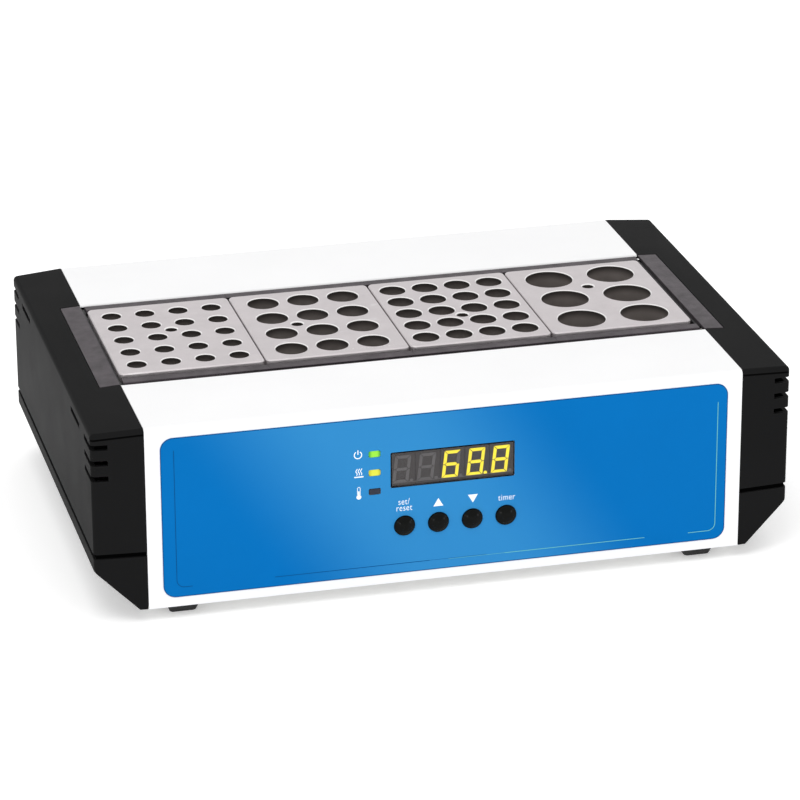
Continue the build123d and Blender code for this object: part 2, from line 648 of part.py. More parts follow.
def under_plate_layer(margin, z):
    """A layer under the heater plate, holed for the pillars, the thermostat and the leads."""
    x, y = LINER_X - margin, LINER_Y - margin
    layer = slab((-x, x), (-y, y), z)
    for px in (-PILLAR_X, PILLAR_X):
        for py in (-PILLAR_Y, PILLAR_Y):
            layer -= rod_z(px, py, (z[0] - 1, z[1] + 1), PILLAR_RADIUS + INSULATION_PLAY)
    wide = THERMOSTAT_RADIUS + INSULATION_PLAY
    layer -= rod_z(THERMOSTAT_X, 0, (z[0] - 1, z[1] + 1), wide)
    return layer


def heater_mat():
    """Silicone heater mat bonded under the plate."""
    return under_plate_layer(MAT_MARGIN, (PLATE_BOTTOM - MAT_THICKNESS, PLATE_BOTTOM))


def floor_insulation():
    """Fibre board between the mat and the liner floor."""
    low = LINER_FLOOR + LINER_SHEET
    board = under_plate_layer(INSULATION_PLAY, (low, PLATE_BOTTOM - MAT_THICKNESS))
    return board - rod_z(LEAD_HOLE_X, LEAD_HOLE_Y, (low - 1, PLATE_BOTTOM), LEAD_HOLE)


def wall_insulation():
    """Four fibre strips against the outside of the liner's walls."""
    x, y = LINER_X + LINER_SHEET, LINER_Y + LINER_SHEET
    z = (LINER_FLOOR, RAIL_BOTTOM - LINER_SHEET)
    length = CASE_SIDE - SIDE_INSULATION
    strip = slab((-length, length), (y, y + SIDE_INSULATION), z)
    probe_z = PLATE_BOTTOM + PLATE_THICKNESS / 2
    rear = strip - rod_y(PROBE_X, (0, BEYOND * 2), probe_z, PROBE_RADIUS + PROBE_PLAY)
    end = slab((x, x + SIDE_INSULATION), (-y, y), z)
    front = mirror(strip, about=Plane.XZ)
    return Compound(children=[rear, front, end, mirror(end, about=Plane.YZ)])


def plate_pillars():
    """Four ceramic pillars that hold the heater plate off the liner floor."""
    low = LINER_FLOOR + LINER_SHEET
    pillars = []
    for px in (-PILLAR_X, PILLAR_X):
        for py in (-PILLAR_Y, PILLAR_Y):
            pillar = rod_z(px, py, (low, PLATE_BOTTOM), PILLAR_RADIUS)
            pillars.append(pillar - rod_z(px, py, (low - 1, PLATE_BOTTOM + 1), CAP_PILOT))
    return Compound(children=pillars)


def thermostat():
    """Over-temperature thermostat: a disc against the plate's underside, with two tab terminals."""
    top = PLATE_BOTTOM
    body = rod_z(THERMOSTAT_X, 0, (top - THERMOSTAT_HEIGHT, top), THERMOSTAT_RADIUS)
    for side in (-1, 1):
        x = THERMOSTAT_X + side * THERMOSTAT_RADIUS / 2
        tab = (top - THERMOSTAT_HEIGHT - THERMOSTAT_RADIUS / 2, top - THERMOSTAT_HEIGHT)
        body += slab(about(x, LINER_SHEET), about(0, THERMOSTAT_RADIUS / 2), tab)
    return body


def temperature_probe():
    """Stainless sensor sheath pushed into the plate's rear edge."""
    y = LINER_Y - PLATE_MARGIN
    probe_z = PLATE_BOTTOM + PLATE_THICKNESS / 2
    tail = LINER_Y + LINER_SHEET + SIDE_INSULATION + PROBE_RADIUS
    sheath = rod_y(PROBE_X, (y - PROBE_LENGTH + 1, tail), probe_z, PROBE_RADIUS)
    return fillet(sheath.edges().group_by(Axis.Y)[0], PROBE_RADIUS * 0.8)


def liner_brackets():
    """Four Z brackets that stand the liner on the pan."""
    brackets = []
    low, high = PAN_TOP, LINER_FLOOR
    y = LINER_Y - BRACKET_REACH
    path = [(y - BRACKET_REACH, low), (y, low), (y, high), (y + BRACKET_REACH, high)]
    for x in (-BRACKET_X, BRACKET_X):
        with BuildPart() as bracket:
            with BuildSketch(Plane.YZ.offset(x - BRACKET_WIDTH / 2)):
                with BuildLine():
                    FilletPolyline(*path, radius=LIP_BEND)
                    offset(amount=SHEET, side=Side.LEFT)
                make_face()
            extrude(amount=BRACKET_WIDTH)
        lowered = bracket.part & between(low, high)
        brackets += [lowered, mirror(lowered, about=Plane.XZ)]
    return Compound(children=brackets)


# ---------------------------------------------------------------- front panel
def label():
    """Overlay on the front panel, cut out for the lens, the lamps and the buttons."""
    outside = CASE_FRONT - LABEL_THICKNESS
    sheet = panel_plug((0, LABEL_Z), (LABEL_WIDTH, LABEL_HEIGHT), LABEL_CORNER, (outside, CASE_FRONT))
    through = (CASE_FRONT - BEYOND, CASE_FRONT + BEYOND / 4)
    grown = (LENS_WIDTH + 2 * FIT_GAP, LENS_HEIGHT + 2 * FIT_GAP)
    sheet -= panel_plug(LENS_CENTRE, grown, LENS_CORNER, through)
    for z in LAMP_Z:
        size = (LAMP_SIZE[0] + 2 * FIT_GAP, LAMP_SIZE[1] + 2 * FIT_GAP)
        sheet -= panel_plug((LAMP_X, z), size, LENS_CORNER, through)
    for index in range(len(BUTTON_NAMES)):
        sheet -= rod_y(button_x(index), through, BUTTON_Z, BUTTON_RADIUS + BUTTON_PLAY)
    return sheet


def display_lens():
    """Smoked window flush with the label, with a flange behind the cover."""
    reach, thickness = LENS_FLANGE
    plug = panel_plug(
        LENS_CENTRE, (LENS_WIDTH, LENS_HEIGHT), LENS_CORNER,
        (CASE_FRONT - LABEL_THICKNESS, COVER_INSIDE),
    )
    wide = (LENS_WIDTH + 2 * reach, LENS_HEIGHT + 2 * reach)
    return plug + panel_plug(LENS_CENTRE, wide, LENS_CORNER, (COVER_INSIDE, COVER_INSIDE + thickness))


def digit_modules():
    """Five seven-segment modules side by side on the display board."""
    width, height, depth = DIGIT_SIZE
    modules = []
    for index in range(DIGIT_COUNT):
        x = LENS_CENTRE[0] + (index - (DIGIT_COUNT - 1) / 2) * DIGIT_PITCH
        y = (BOARD_FRONT - depth, BOARD_FRONT)
        modules.append(slab(about(x, width), y, about(LENS_CENTRE[1], height)))
    return Compound(children=modules)


def lamp_lenses():
    """Three rectangular lamp lenses, each with a light pipe towards its LED."""
    lenses = []
    for z in LAMP_Z:
        front = CASE_FRONT - LABEL_THICKNESS - LAMP_PROUD
        lens = panel_plug((LAMP_X, z), LAMP_SIZE, LENS_CORNER, (front, COVER_INSIDE))
        pipe = (COVER_INSIDE, BOARD_FRONT - LED_HEIGHT - FIT_GAP)
        lenses.append(lens + rod_y(LAMP_X, pipe, z, LAMP_PIPE))
    return Compound(children=lenses)


def indicator_leds():
    """Three small LEDs on the display board, behind the lamp lenses."""
    leds = []
    for z in LAMP_Z:
        led = rod_y(LAMP_X, (BOARD_FRONT - LED_HEIGHT, BOARD_FRONT), z, LED_RADIUS)
        leds.append(fillet(led.edges().group_by(Axis.Y)[0], LED_RADIUS / 2))
    return Compound(children=leds)


def button(index):
    """One domed push button: cap, flange behind the cover and stem into its switch."""
    x = button_x(index)
    top = CASE_FRONT - BUTTON_PROUD
    cap = rod_y(x, (top, COVER_INSIDE + BUTTON_FLANGE[1]), BUTTON_Z, BUTTON_RADIUS)
    cap = fillet(cap.edges().group_by(Axis.Y)[0], BUTTON_DOME)
    flange = (COVER_INSIDE, COVER_INSIDE + BUTTON_FLANGE[1])
    cap += rod_y(x, flange, BUTTON_Z, BUTTON_RADIUS + BUTTON_FLANGE[0])
    tip = BOARD_FRONT - TACT_SIZE[1] + TACT_ENTRY
    return cap + rod_y(x, (COVER_INSIDE, tip), BUTTON_Z, BUTTON_STEM)


def tact_switches():
    """Four tactile switches on the display board, each with a socket for a button's stem."""
    side, height = TACT_SIZE
    switches = []
    for index in range(len(BUTTON_NAMES)):
        x = button_x(index)
        y = (BOARD_FRONT - height, BOARD_FRONT)
        body = slab(about(x, side), y, about(BUTTON_Z, side))
        socket = (y[0] - 1, y[0] + TACT_SOCKET_DEPTH)
        switches.append(body - rod_y(x, socket, BUTTON_Z, BUTTON_STEM + BUTTON_PLAY))
    return Compound(children=switches)


def standoff_places():
    """The four corners of the display board where it is fixed."""
    half_w = DISPLAY_BOARD[0] / 2 - STANDOFF_INSET
    half_h = DISPLAY_BOARD[1] / 2 - STANDOFF_INSET
    cx, cz = DISPLAY_BOARD_CENTRE
    return [(cx + sx * half_w, cz + sz * half_h) for sx in (-1, 1) for sz in (-1, 1)]


def display_board():
    """The display board, upright behind the front cover."""
    board = panel_plug(
        DISPLAY_BOARD_CENTRE, DISPLAY_BOARD, LENS_CORNER, (BOARD_FRONT, BOARD_FRONT + BOARD_THICKNESS)
    )
    through = (BOARD_FRONT - 1, BOARD_FRONT + BOARD_THICKNESS + 1)
    return board - [rod_y(x, through, z, PANEL_SCREW + FIT_GAP) for x, z in standoff_places()]


def display_studs():
    """Four shouldered studs welded to the cover, which carry the display board."""
    studs = []
    for x, z in standoff_places():
        stud = rod_y(x, (COVER_INSIDE, BOARD_FRONT), z, STANDOFF_RADIUS)
        end = BOARD_FRONT + BOARD_THICKNESS + NUT_SIZE[1] + FIT_GAP
        studs.append(stud + rod_y(x, (BOARD_FRONT, end), z, PANEL_SCREW))
    return Compound(children=studs)


def case_screws():
    """Four flat-head screws through the covers into the pan: two under the label, two behind."""
    depth = PANEL_SCREW_HEAD[1]
    screws = []
    for x in (-PANEL_SCREW_X, PANEL_SCREW_X):
        head = countersink(x, PANEL_SCREW_Z, CASE_FRONT)
        shank = (CASE_FRONT + depth, COVER_INSIDE + 5 * SHEET)
        screw = head + rod_y(x, shank, PANEL_SCREW_Z, PANEL_SCREW)
        screws += [screw, mirror(screw, about=Plane.XZ)]
    return Compound(children=screws)


# ---------------------------------------------------------------- rear panel
def power_inlet():
    """Mains inlet: flange, body, plug socket and the slot for the fuse drawer."""
    width, height, thickness = INLET_FLANGE
    face = -CASE_FRONT
    body = panel_plug(INLET_CENTRE, (width, height), INLET_CORNER, (face, face + thickness))
    back = (face - INLET_BODY[2], face)
    body += panel_plug(INLET_CENTRE, INLET_BODY[:2], INLET_CORNER, back)
    socket_place = (INLET_CENTRE[0], INLET_CENTRE[1] + SOCKET_RISE)
    mouth = face + thickness
    body -= panel_plug(socket_place, SOCKET_SIZE[:2], SOCKET_CORNER, (mouth - SOCKET_SIZE[2], mouth + 1))
    drawer_place = (INLET_CENTRE[0], INLET_CENTRE[1] - DRAWER_DROP)
    slot = (DRAWER_SIZE[0] + 2 * DRAWER_PLAY, DRAWER_SIZE[1] + 2 * DRAWER_PLAY)
    cavity = (mouth - DRAWER_SIZE[2] - DRAWER_PLAY, mouth + 1)
    body -= panel_plug(drawer_place, slot, LENS_CORNER, cavity)
    for side in (-1, 1):
        x = INLET_CENTRE[0] + side * INLET_SCREW_SPREAD / 2
        body -= rod_y(x, (face - 1, face + thickness + 1), INLET_CENTRE[1], PANEL_SCREW)
    for x, z in pin_places():
        body -= slab(about(x, PIN_SIZE[0]), (0, mouth), about(z, PIN_SIZE[1]))
    return body


def pin_places():
    """Where the three flat pins stand in the socket."""
    x, z = INLET_CENTRE[0], INLET_CENTRE[1] + SOCKET_RISE
    return [(x - PIN_SPREAD, z - PIN_EARTH_DROP / 2), (x + PIN_SPREAD, z - PIN_EARTH_DROP / 2),
            (x, z + PIN_EARTH_DROP / 2)]


def inlet_pins():
    """Three flat brass pins, from the socket through the inlet's back to their tabs."""
    mouth = -CASE_FRONT + INLET_FLANGE[2]
    tip = mouth - SOCKET_SIZE[2] + PIN_SIZE[2]
    back = -CASE_FRONT - INLET_BODY[2] - PIN_SIZE[2] / 2
    pins = []
    for x, z in pin_places():
        pins.append(slab(about(x, PIN_SIZE[0]), (back, tip), about(z, PIN_SIZE[1])))
    return Compound(children=pins)


def fuse_drawer():
    """Fuse drawer: a small open tray with a face plate that closes its slot."""
    mouth = -CASE_FRONT + INLET_FLANGE[2]
    place = (INLET_CENTRE[0], INLET_CENTRE[1] - DRAWER_DROP)
    back = mouth - DRAWER_SIZE[2]
    drawer = panel_plug(place, DRAWER_SIZE[:2], LENS_CORNER / 2, (back, mouth))
    wall = DRAWER_WALL
    hollow_x = about(place[0], DRAWER_SIZE[0] - 2 * wall)
    hollow_z = (place[1] - DRAWER_SIZE[1] / 2 + wall, place[1] + DRAWER_SIZE[1])
    return drawer - slab(hollow_x, (back + wall, mouth - 3 * wall), hollow_z)


def fuses():
    """Two cartridge fuses lying side by side in the drawer."""
    radius, length = FUSE_SIZE
    mouth = -CASE_FRONT + INLET_FLANGE[2]
    z = INLET_CENTRE[1] - DRAWER_DROP - DRAWER_SIZE[1] / 2 + DRAWER_WALL + radius
    middle = mouth - DRAWER_SIZE[2] / 2 - DRAWER_WALL
    tubes = []
    for side in (-1, 1):
        x = INLET_CENTRE[0] + side * FUSE_SPREAD
        tubes.append(rod_y(x, about(middle, length), z, radius))
    return Compound(children=tubes)


def inlet_screws():
    """Two screws with nuts that hold the inlet's flange to the rear cover."""
    radius, height = PANEL_SCREW_HEAD
    face = -CASE_FRONT + INLET_FLANGE[2]
    screws = []
    for side in (-1, 1):
        x, z = INLET_CENTRE[0] + side * INLET_SCREW_SPREAD / 2, INLET_CENTRE[1]
        shank = (REAR_INSIDE - 4 * SHEET, face)
        head = rod_y(x, (face, face + height / 2), z, radius)
        screws.append(head + rod_y(x, shank, z, PANEL_SCREW))
        place = Pos(x, REAR_INSIDE, z) * Rot(90, 0, 0)
        screws.append(hex_nut(place, NUT_SIZE[0], NUT_SIZE[1], PANEL_SCREW))
    return Compound(children=screws)


def rocker_pivot():
    """Where the rocker's pin lies: (y, z)."""
    return (-CASE_FRONT + SWITCH_BEZEL[2] - ROCKER_DEPTH, SWITCH_CENTRE[1])


def switch_frame():
    """Mains switch frame: bezel on the panel and a body behind it, open for the rocker."""
    face = -CASE_FRONT
    frame = panel_plug(SWITCH_CENTRE, SWITCH_BEZEL[:2], LENS_CORNER, (face, face + SWITCH_BEZEL[2]))
    frame += panel_plug(SWITCH_CENTRE, SWITCH_BODY[:2], LENS_CORNER, (face - SWITCH_BODY[2], face))
    hollow = (face - SWITCH_BODY[2] + 2 * DRAWER_WALL, face + BEYOND)
    frame -= panel_plug(SWITCH_CENTRE, SWITCH_WINDOW, LENS_CORNER / 2, hollow)
    y, z = rocker_pivot()
    x = about(SWITCH_CENTRE[0], SWITCH_BODY[0] - DRAWER_WALL)
    return frame - rod_x(x, y, z, ROCKER_PIN + ROCKER_PIN_PLAY)


def rocker():
    """The rocker, tilted to its on side, with a pivot pin in the frame's cheeks."""
    y, z = rocker_pivot()
    width = SWITCH_WINDOW[0] - 2 * ROCKER_PLAY
    length = SWITCH_WINDOW[1] / 2 - ROCKER_PLAY - ROCKER_PIN
    rise = ROCKER_DEPTH + ROCKER_PLAY
    outline = Polyline((-length, rise), (0, rise - ROCKER_PLAY), (length, rise),
                       (length, ROCKER_PIN), (0, -ROCKER_DEPTH / 2), (-length, ROCKER_PIN),
                       (-length, rise))
    face = Plane(origin=(0, 0, 0), x_dir=(0, 0, 1), z_dir=(-1, 0, 0)) * make_face(outline)
    body = extrude(face, width / 2, both=True)
    pin = rod_x(about(0, SWITCH_BODY[0] - DRAWER_WALL - ROCKER_PLAY), 0, 0, ROCKER_PIN)
    return Pos(SWITCH_CENTRE[0], y, z) * Rot(-ROCKER_TILT, 0, 0) * (body + pin)


# ---------------------------------------------------------------- feet and inside
def feet():
    """Four tapered rubber feet, recessed underneath for their screws."""
    radius, depth = FOOT_RECESS
    items = []
    for x in (-FOOT_X, FOOT_X):
        for y in (-FOOT_Y, FOOT_Y):
            sole = Pos(x, y, 0) * RectangleRounded(*FOOT_BOTTOM, FOOT_CORNER)
            top = Pos(x, y, FOOT_HEIGHT) * RectangleRounded(*FOOT_TOP, FOOT_CORNER)
            foot = loft([sole, top])
            foot -= rod_z(x, y, (-1, depth), radius)
            items.append(foot - rod_z(x, y, (0, FOOT_HEIGHT + 1), FOOT_SCREW))
    return Compound(children=items)


def foot_screws():
    """Four screws up through the feet, with nuts inside the pan."""
    radius, height = FOOT_SCREW_HEAD
    seat = FOOT_RECESS[1]
    screws = []
    for x in (-FOOT_X, FOOT_X):
        for y in (-FOOT_Y, FOOT_Y):
            screw = rod_z(x, y, (seat - height, seat), radius)
            screw += rod_z(x, y, (seat, PAN_TOP + 2 * NUT_SIZE[1]), FOOT_SCREW)
            nut = hex_nut(Pos(x, y, PAN_TOP), 2 * FOOT_SCREW, NUT_SIZE[1], FOOT_SCREW)
            screws += [screw, nut]
    return Compound(children=screws)


def board_corners():
    """The four corners of the power board where it is fixed."""
    half_w = POWER_BOARD[0] / 2 - STANDOFF_INSET
    half_d = POWER_BOARD[1] / 2 - STANDOFF_INSET
    cx, cy = POWER_BOARD_CENTRE
    return [(cx + sx * half_w, cy + sy * half_d) for sx in (-1, 1) for sy in (-1, 1)]


def power_board():
    """The power board, flat over the pan behind the wells."""
    cx, cy = POWER_BOARD_CENTRE
    z = (POWER_BOARD_Z, POWER_BOARD_Z + BOARD_THICKNESS)
    board = slab(about(cx, POWER_BOARD[0]), about(cy, POWER_BOARD[1]), z)
    through = (z[0] - 1, z[1] + 1)
    return board - [rod_z(x, y, through, PANEL_SCREW + FIT_GAP) for x, y in board_corners()]


def board_pillars():
    """Four pillars between the pan and the power board."""
    z = (PAN_TOP, POWER_BOARD_Z)
    pillars = [
        rod_z(x, y, z, STANDOFF_RADIUS) - rod_z(x, y, (z[1] - 5, z[1] + 1), PANEL_SCREW)
        for x, y in board_corners()
    ]
    return Compound(children=pillars)


def transformer_core():
    """Laminated core of the low-voltage transformer, with its two winding windows."""
    width, depth, height = TRANSFORMER_CORE
    z, y = POWER_BOARD_TOP, POWER_BOARD_Y
    core = slab(about(TRANSFORMER_X, width), about(y, depth / 2), (z, z + height))
    for side in (-1, 1):
        x = TRANSFORMER_X + side * width / 4
        core -= slab(about(x, width / 6), about(y, 2 * depth), (z + height / 6, z + height * 5 / 6))
    return core


def transformer_coil():
    """Winding on the transformer's middle limb."""
    width, depth, height = TRANSFORMER_CORE
    z, y = POWER_BOARD_TOP, POWER_BOARD_Y
    limb = width / 3
    coil_z = (z + height / 6 + FIT_GAP, z + height * 5 / 6 - FIT_GAP)
    coil = slab(about(TRANSFORMER_X, limb + width / 3 - 2 * FIT_GAP), about(y, depth), coil_z)
    return coil - slab(about(TRANSFORMER_X, limb), about(y, depth / 2), coil_z)


def heatsink():
    """Finned aluminium heatsink for the triac."""
    width, depth, height = HEATSINK
    z, y = POWER_BOARD_TOP, POWER_BOARD_Y
    sink = slab(about(HEATSINK_X, width), about(y, depth), (z, z + height))
    gap = width / (2 * HEATSINK_FINS)
    for index in range(HEATSINK_FINS - 1):
        x = HEATSINK_X + (index - (HEATSINK_FINS - 2) / 2) * 2 * gap
        sink -= slab(about(x, gap), (y - depth / 2 + depth / 3, y + depth), (z - 1, z + height + 1))
    return sink


def triac():
    """The triac, flat against the heatsink's front face."""
    width, depth, height = TRIAC
    z, y = POWER_BOARD_TOP, POWER_BOARD_Y - HEATSINK[1] / 2
    body = slab(about(HEATSINK_X, width), (y - depth, y), (z + height / 3, z + height * 4 / 3))
    for index in (-1, 0, 1):
        x = HEATSINK_X + index * width / 4
        body += slab(about(x, LINER_SHEET), about(y - depth / 2, LINER_SHEET), (z, z + height / 2))
    return body


def capacitors():
    """Two smoothing capacitors on the power board."""
    radius, height = CAPACITOR
    first = TRANSFORMER_X + TRANSFORMER_CORE[0] / 2 + 3 * radius
    cans = []
    for x in (first, first + CAPACITOR_STEP):
        can = rod_z(x, POWER_BOARD_Y, (POWER_BOARD_TOP, POWER_BOARD_TOP + height), radius)
        cans.append(fillet(can.edges().group_by(Axis.Z)[-1], CAPACITOR_ROUND))
    return Compound(children=cans)


def terminal_y(index):
    """Where one terminal stands along the terminal block."""
    return POWER_BOARD_Y + (index - (TERMINAL_COUNT - 1) / 2) * TERMINAL_PITCH


def terminal_block():
    """Screw terminals for mains, heater and thermostat at the power board's right end."""
    width, depth, height = TERMINAL_BLOCK
    top = POWER_BOARD_TOP + height
    body = slab(about(TERMINAL_X, width), about(POWER_BOARD_Y, depth), (POWER_BOARD_TOP, top))
    radius, sink = TERMINAL_SCREW_HOLE
    entry = POWER_BOARD_TOP + TERMINAL_ENTRY
    for index in range(TERMINAL_COUNT):
        body -= rod_z(TERMINAL_X, terminal_y(index), (top - sink, top + 1), radius)
        body -= rod_x((TERMINAL_X, TERMINAL_FACE + 1), terminal_y(index), entry, WIRE + FIT_GAP)
    return body


def ribbon_cable():
    """Flat cable from the power board under the liner to the display board."""
    width, thickness = RIBBON
    x = about(DISPLAY_BOARD_CENTRE[0] - 2 * width, width)
    low = PAN_TOP + POWER_BOARD_LIFT / 2
    start = POWER_BOARD_CENTRE[1] - POWER_BOARD[1] / 2 + 2 * STANDOFF_INSET
    run = BOARD_FRONT + BOARD_THICKNESS + 2 * thickness + STANDOFF_INSET
    path = [
        (start, POWER_BOARD_Z - thickness),
        (start - 2 * STANDOFF_INSET, POWER_BOARD_Z - thickness),
        (start - 4 * STANDOFF_INSET, low),
        (run, low),
        (run, DISPLAY_BOARD_CENTRE[1] - DISPLAY_BOARD[1] / 4),
        (BOARD_FRONT + BOARD_THICKNESS, DISPLAY_BOARD_CENTRE[1] - DISPLAY_BOARD[1] / 4),
    ]
    return folded_sheet(path, [RIBBON_BEND] * 4, thickness, x)


def lead(points, radii, radius=WIRE):
    """An insulated lead along straight runs joined by arcs."""
    path = FilletPolyline(*points, radius=radii)
    start = Plane(origin=path @ 0, z_dir=path % 0)
    return sweep(start * Circle(radius), path=path)


def mains_leads():
    """Leads from the inlet's tabs to the switch and on to the power board's terminals."""
    switch_back = -CASE_FRONT - SWITCH_BODY[2]
    entry = POWER_BOARD_TOP + TERMINAL_ENTRY
    (left_x, left_z), (right_x, right_z), _ = pin_places()
    near_x = SWITCH_CENTRE[0] + WIRE_STEP / 2
    far_x = SWITCH_CENTRE[0] - WIRE_STEP / 2
    turn = INLET_BACK - 2 * WIRE_BEND
    deep = INLET_BACK - 3.5 * WIRE_BEND
    last, next_to_last = terminal_y(TERMINAL_COUNT - 1), terminal_y(TERMINAL_COUNT - 2)
    across = [(left_x, INLET_BACK, left_z), (left_x, turn, left_z), (near_x, turn, left_z),
              (near_x, switch_back, left_z)]
    live = [(far_x, switch_back, SWITCH_CENTRE[1]), (far_x, switch_back - 2 * WIRE_BEND, SWITCH_CENTRE[1]),
            (far_x, last, entry), (TERMINAL_FACE, last, entry)]
    neutral = [(right_x, INLET_BACK, right_z), (right_x, deep, right_z), (right_x, deep, entry),
               (right_x - 2 * WIRE_STEP, next_to_last, entry), (TERMINAL_FACE, next_to_last, entry)]
    return [lead(across, WIRE_BEND), lead(live, WIRE_BEND - WIRE), lead(neutral, WIRE_BEND + WIRE)]


def heater_leads():
    """Two leads from the mat down through the liner floor and back to the terminals."""
    entry = POWER_BOARD_TOP + TERMINAL_ENTRY
    leads = []
    for index in (0, 1):
        x = LEAD_HOLE_X + (index - 0.5) * 3 * WIRE
        y = terminal_y(1 - index)
        low = LINER_FLOOR - (4 + 3 * index) * WIRE
        side = TERMINAL_FACE + (3 - index) * WIRE_BEND
        back = LEAD_HOLE_Y + WIRE_STEP * index
        points = [(x, LEAD_HOLE_Y, PLATE_BOTTOM - MAT_THICKNESS - WIRE / 2), (x, LEAD_HOLE_Y, low),
                  (side, back, low), (side, y, entry), (TERMINAL_FACE, y, entry)]
        leads.append(lead(points, WIRE_BEND))
    return leads


def sensor_lead():
    """The probe's lead, from behind the liner down to the power board."""
    y = LINER_Y + LINER_SHEET + SIDE_INSULATION + PROBE_RADIUS
    z = PLATE_BOTTOM + PLATE_THICKNESS / 2
    drop_y = POWER_BOARD_Y - POWER_BOARD[1] / 2 + 2 * STANDOFF_INSET
    return lead([(PROBE_X, y, z), (PROBE_X, drop_y, z), (PROBE_X, drop_y, POWER_BOARD_TOP)], WIRE_BEND)


def wiring():
    """Every lead inside the case."""
    return Compound(children=mains_leads() + heater_leads() + [sensor_lead()])


def all_nodes():
    """Every node of the heater by name."""
    shell = cap_shell()
    nodes = {name: block(name, index) for index, name in enumerate(WELLS)}
    nodes["front_cover"] = front_cover()
    nodes["rear_cover"] = rear_cover()
    nodes["base_pan"] = base_pan()
    right = {
        "end_cap_upper": cap_upper(shell),
        "end_cap_lower": cap_lower(shell),
        "side_plate": side_plate(),
        "end_plate": end_plate(),
    }
    for name, piece in right.items():
        nodes["right_" + name] = piece
        nodes["left_" + name] = mirror(piece, about=Plane.YZ)
    nodes["frame_screws"] = frame_screws()
    nodes["front_rail"] = rail()
    nodes["rear_rail"] = mirror(rail(), about=Plane.XZ)
    for maker in (
        well_liner, heater_plate, heater_mat, floor_insulation, wall_insulation, plate_pillars,
        thermostat, temperature_probe, liner_brackets, label, display_lens, digit_modules,
        lamp_lenses, indicator_leds, tact_switches, display_board, display_studs, case_screws,
        power_inlet, inlet_pins, fuse_drawer, fuses, inlet_screws, switch_frame, rocker, feet,
        foot_screws, power_board, board_pillars, transformer_core, transformer_coil, heatsink,
        triac, capacitors, terminal_block, ribbon_cable, wiring,
    ):
        nodes[maker.__name__] = maker()
    for index, name in enumerate(BUTTON_NAMES):
        nodes[name] = button(index)
    return nodes


os.makedirs("parts", exist_ok=True)
for node_name, node in all_nodes().items():
    export_step(node, "parts/" + node_name + ".step")
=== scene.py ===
"""Looks for a four-block digital dry block heater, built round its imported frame.

Lengths are metres in the frame's own axes: +X right along the case, +Y from the front panel to
the back, +Z up from the bench.
"""

import logging
import math
from collections.abc import Sequence
from dataclasses import dataclass
from enum import Enum

import bmesh
import bpy
import numpy as np
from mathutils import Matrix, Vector


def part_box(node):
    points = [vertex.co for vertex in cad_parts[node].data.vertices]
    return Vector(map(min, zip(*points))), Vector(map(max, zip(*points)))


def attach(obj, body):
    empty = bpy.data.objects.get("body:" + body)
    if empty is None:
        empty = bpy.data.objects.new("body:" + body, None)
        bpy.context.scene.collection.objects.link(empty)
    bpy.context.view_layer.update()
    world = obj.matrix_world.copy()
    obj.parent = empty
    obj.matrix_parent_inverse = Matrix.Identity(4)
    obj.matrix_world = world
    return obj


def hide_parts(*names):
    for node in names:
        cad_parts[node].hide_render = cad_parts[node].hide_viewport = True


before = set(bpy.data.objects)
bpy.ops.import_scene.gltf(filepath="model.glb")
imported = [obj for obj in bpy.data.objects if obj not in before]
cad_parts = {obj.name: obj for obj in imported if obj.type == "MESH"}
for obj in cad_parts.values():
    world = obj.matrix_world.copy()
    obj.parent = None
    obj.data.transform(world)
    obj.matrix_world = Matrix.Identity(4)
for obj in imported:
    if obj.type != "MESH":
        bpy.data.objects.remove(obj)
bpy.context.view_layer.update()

ROOT = "chassis"
log = logging.getLogger("heater")

Colour = tuple[float, float, float]
Array = np.ndarray


# ---------------------------------------------------------------- shader helpers
class Tree:
    """Adds and links nodes in one shader tree."""

    def __init__(self, tree: bpy.types.NodeTree) -> None:
        """Keeps the tree to build in."""
        self.tree = tree

    def add(self, kind: str, **inputs: object) -> bpy.types.Node:
        """Adds one node and sets or links its inputs.

        Args:
            kind: The node's type name without its ShaderNode prefix.
            inputs: Input names, with underscores for spaces, to a value or an output socket.

        Returns:
            The new node.
        """
        node = self.tree.nodes.new("ShaderNode" + kind)
        for name, value in inputs.items():
            self.put(node, name.replace("_", " "), value)
        return node

    def put(self, node: bpy.types.Node, name: str | int, value: object) -> None:
        """Sets one input of a node, or links an output socket to it."""
        socket = node.inputs[name]
        if isinstance(value, bpy.types.NodeSocket):
            self.tree.links.new(value, socket)
        else:
            socket.default_value = value

    def math(self, operation: str, first: object, second: object = 0.0) -> bpy.types.NodeSocket:
        """One arithmetic step on two values or sockets."""
        node = self.add("Math")
        node.operation = operation
        self.put(node, 0, first)
        self.put(node, 1, second)
        return node.outputs[0]

    def ramp(self, value: object, low: float, high: float) -> bpy.types.NodeSocket:
        """Rises from 0 at low to 1 at high, clamped, with soft ends."""
        node = self.add("MapRange", Value=value, From_Min=low, From_Max=high)
        node.interpolation_type = "SMOOTHSTEP"
        return node.outputs["Result"]

    def axes(self) -> Sequence[bpy.types.NodeSocket]:
        """The x, y and z of the Object coordinates."""
        entry = self.add("TexCoord")
        return list(self.add("SeparateXYZ", Vector=entry.outputs["Object"]).outputs)

    def away(self, value: object, centre: object) -> bpy.types.NodeSocket:
        """The distance of a value from a centre."""
        return self.math("ABSOLUTE", self.math("SUBTRACT", value, centre))

    def mix(self, amount: object, first: object, second: object) -> bpy.types.NodeSocket:
        """Mixes two colours by an amount."""
        node = self.add("Mix")
        node.data_type = "RGBA"
        self.put(node, 0, amount)
        self.put(node, 6, rgba(first))
        self.put(node, 7, rgba(second))
        return node.outputs[2]


def rgba(colour: object) -> object:
    """A colour with alpha, or the socket it already is."""
    if isinstance(colour, bpy.types.NodeSocket):
        return colour
    return (*colour[:3], 1.0)


